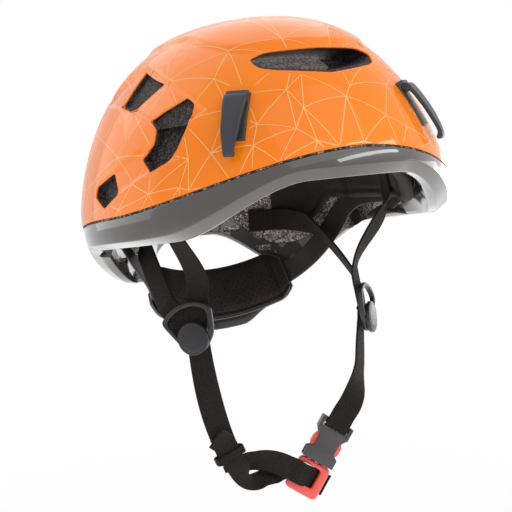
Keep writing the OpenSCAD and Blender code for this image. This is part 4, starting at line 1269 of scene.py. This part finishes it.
def make_wall_pad():
    """Pad along the inner wall, sewn near its lower edge and across into cushions."""
    steps = 48

    def place(s, p):
        i = s * steps
        a = -PAD_END + i * 6
        deep, tall = pad_ends(min(i, steps - i))
        mid = level(a, PAD_LOW) + PAD_HALF_H
        sewn = 1
        if p.x > 0.5:
            sewn -= stitch(p.y + 0.62, 0.055, 0.34)
            for cross in WALL_SEAMS:
                sewn -= stitch(a - cross, 1.1, 0.30)
        return wall_point(a, mid + p.y * PAD_HALF_H * tall,
                          WALL_T + PAD_GAP + 0.2 + p.x * (pad_thick(a) - 0.9) * deep * max(sewn, 0.5))

    return make_pad("wall_pad_cover", "wall_pad", place, "shell", WALL_CLOTH, 6 * steps)


def make_nape_pad():
    """Pad on the headband at the nape, sewn near its edges and piped all round."""
    steps = 10

    def place(s, p):
        i = s * steps
        at = 1 + (i - steps / 2) / BAND_STEPS
        deep, tall = pad_ends(min(i, steps - i) * 1.6, 0.6)
        sewn = 1
        if p.x > 0.5:
            sewn -= stitch(p.y + 0.84, 0.05, 0.3)
            for cross in NAPE_SEAMS:
                sewn -= stitch(i - cross, 0.09, 0.3)
        thick = BAND_T / 2 + 0.8 + p.x * (NAPE_T - 0.8) * deep * max(sewn, 0.45)
        return band_point(at) + band_in(at) * thick + band_wide(at) * p.y * NAPE_H / 2 * tall

    pad = make_pad("nape_pad_cover", "nape_pad", place, "headband", NAPE_CLOTH, 12 * steps)
    edge, count, ends = 0.42, 60, 10
    border = [place(k / count, Vector((edge, 1.0))) for k in range(count + 1)]
    border += [place(1.0, Vector((edge, 1 - 2 * k / ends))) for k in range(1, ends)]
    border += [place(1 - k / count, Vector((edge, -1.0))) for k in range(count + 1)]
    border += [place(0.0, Vector((edge, 2 * k / ends - 1))) for k in range(1, ends)]
    bm = bmesh.new()
    lay_tube(bm, border, 0.55)
    outward(bm)
    finished("nape_piping", bm, PIPING, "headband", sharp=180)
    return pad


def wall_back(p):
    """True at the back of the wall pad."""
    a = math.degrees(math.atan2(p.x / HALF_W, -p.y / (FRONT_L if p.y < 0 else REAR_L)))
    deep = wall_point(a, p.z, WALL_BACK_IN)
    return math.hypot(p.x, p.y) > math.hypot(deep.x, deep.y)


def nape_back(p):
    """True at the back of the nape pad."""
    return p.y > NAPE_BACK_Y


def sew(pad, back_of, body):
    """Swells a pad by cloth simulation with its back held, then lets it ride."""
    held = [v.index for v in pad.data.vertices if back_of(v.co / MM)]
    swell_cloth(pad, held, SWELL_PRESSURE, SWELL_MOST)
    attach(pad, body)


# Dividers, discs, buckle and keeper

DIVIDER_OUTLINE = [(-20.4, -2.6), (-18.4, 1.2), (-10, 7.6), (1, 10.4), (10.8, 8), (13.4, 4.4), (13.4, -10),
                   (6.4, -21), (-6.6, -20.4)]
DIVIDER_MIDDLE, DISC_AT, DISC_R = Vector((-2, -5)), (0.5, -12.5), 10


def divider_put(c, left):
    def put(p):
        q = at_divider(c, p)
        return flip(q) if left else q
    return put


def frame_ring(bm, outer, inner, low, high):
    """Flat ring between two outlines (across, up), given thickness between two depths."""
    loops = []
    for pts in (outer, inner):
        verts = [bm.verts.new((p.x, low, p.y)) for p in pts]
        loops += [bm.edges.new(pair) for pair in zip(verts, verts[1:] + verts[:1])]
    made = bmesh.ops.bridge_loops(bm, edges=loops)["faces"]
    raised = bmesh.ops.extrude_face_region(bm, geom=made)["geom"]
    lifted = [g for g in raised if isinstance(g, bmesh.types.BMVert)]
    bmesh.ops.translate(bm, verts=lifted, vec=(0, high - low, 0))
    outward(bm)


def make_divider(name, c, left):
    """Rounded frame that the straps pass behind, with the seat of its lock disc."""
    outer = rounded([Vector(p) for p in DIVIDER_OUTLINE], 4.0, 4)
    inner = [p.lerp(DIVIDER_MIDDLE, 0.2) for p in outer]
    bm = bmesh.new()
    frame_ring(bm, outer, inner, -DIVIDER_T / 2, DIVIDER_T / 2)
    for v in bm.verts:
        if v.co.y < 0:
            v.co.y -= 1.0 * ease((v.co.z + 14) / 5)
    round_edges(bm, corner_edges(bm, 1.0), 1.0, 3)
    seat = Matrix.Translation((DISC_AT[0], 0, DISC_AT[1])) @ Matrix.Rotation(math.pi / 2, 4, "X")
    bmesh.ops.create_cone(bm, cap_ends=True, segments=56, radius1=DISC_R - 1.2, radius2=DISC_R - 1.2,
                          depth=DIVIDER_T, matrix=seat)
    set_in_place(bm, divider_put(c, left))
    finished(name + "_frame", bm, DIVIDER, "shell", [name])


# Half section of a lock disc as radius and depth
DISC_PROFILE = [(0, 0), (9.2, 0), (10, -0.6), (10, -2.2), (9.8, -2.7), (9.3, -3.0), (8.6, -3.05),
                (8.3, -2.95), (8.0, -3.1), (6, -3.25), (3, -3.37), (0, -3.4)]
HUB_R = 2.5


def make_disc(name, c, left):
    """Turned lock disc: a rounded rim round a plain, slightly domed face, and its hub."""
    face = -DIVIDER_T / 2 - LAYER
    bm = bmesh.new()
    verts = [bm.verts.new((r, h, 0)) for r, h in DISC_PROFILE]
    edges = [bm.edges.new(pair) for pair in zip(verts, verts[1:])]
    bmesh.ops.spin(bm, geom=verts + edges, cent=(0, 0, 0), axis=(0, 1, 0), angle=2 * math.pi, steps=64,
                   use_merge=True)
    weld(bm, 1e-3)
    hub = Matrix.Translation((0, DIVIDER_T / 2, 0)) @ Matrix.Rotation(math.pi / 2, 4, "X")
    bmesh.ops.create_cone(bm, cap_ends=True, segments=32, radius1=HUB_R, radius2=HUB_R, depth=DIVIDER_T + 0.6,
                          matrix=hub)
    put = divider_put(c, left)
    set_in_place(bm, lambda p: put(vec(DISC_AT[0] + p.x, face + p.y, DISC_AT[1] + p.z)))
    finished(name + "_button", bm, DISC, name, [name], sharp=35)


def make_keeper():
    """Elastic loop round the doubled webbing and the loose end."""
    w, t = (WEB_W + 2 + 1.6) / 2, (CHIN_T + WEB_T + 4 * LAYER + 1.6) / 2
    loop = rounded([Vector(p) for p in ((-w, -t), (w, -t), (w, t), (-w, t))], 2.4, 5)
    mid = KEEPER_AT + vec(0, -WEB_T / 2 - LAYER / 2, 0)
    path = [mid + KEEPER_ACROSS * p.x + vec(0, 1, 0) * p.y for p in loop]
    n = len(path)
    run = lengths(path + path[:1])
    section = tape_section(KEEPER_H - 2, 1.0)
    count = len(section)
    bm = bmesh.new()

    def place(s, t):
        i = round(s * n) % n
        along = (path[(i + 1) % n] - path[i - 1]).normalized()
        x, y = section[round(t * count) % count]
        return path[i] - KEEPER_WAY * x + along.cross(-KEEPER_WAY) * y

    def uv_at(s, t):
        return run[round(s * n)], section[round(t * count) % count][0]

    lay_grid(bm, n, count, place, "tape", uv_at)
    weld(bm)
    outward(bm)
    finished("strap_keeper_loop", bm, ELASTIC, "shell", ["strap_keeper"], sharp=60)


PLUG_OUTER = ((-11, -22.4), (11.2, -22.4), (10.8, -0.4), (-10.8, -0.4))
PLUG_WINDOW = ((-7.4, -16.6), (5.2, -16.6), (5.2, -3.9), (-7.4, -3.9))
PLUG_TONGUE = ((-1.4, -2, -2.5), (1.4, 2, 15))


def make_plug():
    """Plug of the chin buckle: a thick rounded frame round the webbing, and its guide tongue."""
    outer = rounded([Vector(p) for p in PLUG_OUTER], 3.6, 4)
    inner = rounded([Vector(p) for p in PLUG_WINDOW], 1.6, 4)
    bm = bmesh.new()
    frame_ring(bm, outer, inner, -PLUG_T / 2, PLUG_T / 2)
    round_edges(bm, corner_edges(bm, 1.0), 1.5, 3)
    block(bm, *PLUG_TONGUE, Vector)
    set_in_place(bm, at_buckle)
    finished("buckle_plug_frame", bm, PLUG, "plug", ["buckle_plug"])


make_outer_skin()
make_vent_lips()
make_printed_lines()
make_lower_skin()
make_liner()
make_seam_foam()
for clip, place_name in ((FRONT_CLIP, "front"), (REAR_CLIP, "rear")):
    make_clip(place_name + "_left_clip", clip, True)
    make_clip(place_name + "_right_clip", clip, False)
    softened(place_name + "_clip_bases", 0.5, BASE, "shell")
make_straps()
make_chin_runs()
make_headband()
make_cradle()
wall_pad = make_wall_pad()
nape_pad = make_nape_pad()
sew(wall_pad, wall_back, "shell")
sew(nape_pad, nape_back, "headband")
make_divider("right_divider", RIGHT_DIVIDER, False)
make_divider("left_divider", flip(LEFT_DIVIDER), True)
make_disc("right_lock_disc", RIGHT_DIVIDER, False)
make_disc("left_lock_disc", flip(LEFT_DIVIDER), True)
make_keeper()
softened("buckle_socket", 0.6, SOCKET, "shell", 3)
make_plug()
softened("right_prong", 0.5, PLUG, "right_prong", 3)
softened("left_prong", 0.5, PLUG, "left_prong", 3)
softened("temple_studs", 0.4, HARD, "shell")
softened("strap_anchors", 0.4, HARD, "shell")


# Floor, light and camera, in metres

FLOOR_HALF, FLOOR_Z = 30, -0.30
# Name, place, aim, width, height and brightness of each soft light
SOFTBOXES = (("left_box", (-1.15, 1.15, 0.65), (0, 0, 0), 1.5, 1.6, 0.9),
             ("back_top", (0.0, 1.1, 1.5), (0, 0, 0), 2.6, 1.6, 0.85),
             ("front_top", (0.15, -1.3, 1.4), (0, 0, 0), 2.2, 1.4, 0.8),
             ("rim_strip", (0.83, -1.06, 0.66), (0, 0, 0), 1.5, 0.12, 8.5),
             ("right_side", (1.5, 0.0, 0.0), (0, 0, 0), 1.2, 0.5, 1.6),
             ("right_edge", (1.35, 0.7, -0.05), (0, 0, -0.05), 0.9, 0.4, 2.6))
# The camera's turn, tip and roll in degrees, its place back, right and up in millimetres, and its lens
CAMERA_TURN, CAMERA_TIP, CAMERA_ROLL = 24.5, 1.2, -6.6
CAMERA_BACK, CAMERA_RIGHT, CAMERA_UP = 787.5, -4.7, -35.5
LENS, SENSOR = 86.625, 36


def make_floor():
    """White sheet, bright to the eye and in reflections, that also sends light up under the rim."""
    bm = bmesh.new()
    bmesh.ops.create_grid(bm, x_segments=1, y_segments=1, size=FLOOR_HALF)
    bmesh.ops.translate(bm, verts=bm.verts[:], vec=(0, 0, FLOOR_Z))
    floor = built("floor", bm, 1.0)
    material, tree, _ = new_look("floor_paper", Base_Color=(0.86, 0.86, 0.86), Roughness=0.9)
    far = node(tree, "ShaderNodeVectorMath", {"operation": "LENGTH"}, {0: object_at(tree)}, out="Value")
    far = far.above(0.45, 1.2)
    seen, shiny, bounce = (ray(tree, kind) for kind in ("Camera", "Glossy", "Diffuse"))
    below = tree.nodes["Principled BSDF"]
    for strength, mask in ((1.0, seen * (0.74 + far * 0.26) + shiny * 0.9 + bounce),
                           (2.2, bounce * 0.417 + shiny * (1.0 - far) * 0.88)):
        glow = tree.nodes.new("ShaderNodeEmission")
        glow.inputs["Strength"].default_value = strength
        blend = tree.nodes.new("ShaderNodeMixShader")
        join(tree, mask, blend.inputs[0])
        tree.links.new(below.outputs[0], blend.inputs[1])
        tree.links.new(glow.outputs[0], blend.inputs[2])
        below = blend
    tree.links.new(below.outputs[0], tree.nodes["Material Output"].inputs["Surface"])
    floor.data.materials.append(material)


def make_world():
    """White surround, dimmer for diffuse light than to the eye and in reflections."""
    world = bpy.data.worlds.new("studio")
    bpy.context.scene.world = world
    world.use_nodes = True
    tree = world.node_tree
    back = tree.nodes["Background"]
    back.inputs["Color"].default_value = (1, 1, 1, 1)
    direct = ray(tree, "Camera") + ray(tree, "Glossy") + ray(tree, "Transmission")
    join(tree, 0.60 + direct * 0.40, back.inputs["Strength"])


def softbox(name, at, aim, wide, high, radiance):
    """Rectangular lamp of a given brightness that faces its aim."""
    lamp = bpy.data.lights.new(name, "AREA")
    lamp.shape, lamp.size, lamp.size_y = "RECTANGLE", wide, high
    lamp.energy = radiance * math.pi * wide * high
    made = put_in_scene(name, lamp)
    made.location = at
    made.rotation_euler = (Vector(aim) - Vector(at)).to_track_quat("-Z", "Y").to_euler()


def make_camera():
    """Camera fitted to the photo."""
    turn, tip, roll = (math.radians(a) for a in (CAMERA_TURN, CAMERA_TIP, CAMERA_ROLL))
    back = vec(-math.sin(turn) * math.cos(tip), -math.cos(turn) * math.cos(tip), math.sin(tip))
    right = vec(math.cos(turn), -math.sin(turn), 0)
    up = back.cross(right)
    eye = (back * CAMERA_BACK + right * CAMERA_RIGHT + up * CAMERA_UP) * MM
    side = right * math.cos(roll) + up * math.sin(roll)
    top = up * math.cos(roll) - right * math.sin(roll)
    camera = bpy.data.cameras.new("camera")
    camera.lens, camera.sensor_width = LENS, SENSOR
    camera.clip_start, camera.clip_end = 0.01, 100
    made = put_in_scene("camera", camera)
    made.matrix_world = Matrix(((side.x, top.x, back.x, eye.x), (side.y, top.y, back.y, eye.y),
                                (side.z, top.z, back.z, eye.z), (0, 0, 0, 1)))
    bpy.context.scene.camera = made


make_floor()
make_world()
for box in SOFTBOXES:
    softbox(*box)
make_camera()
bpy.context.scene.view_settings.view_transform = "Standard"
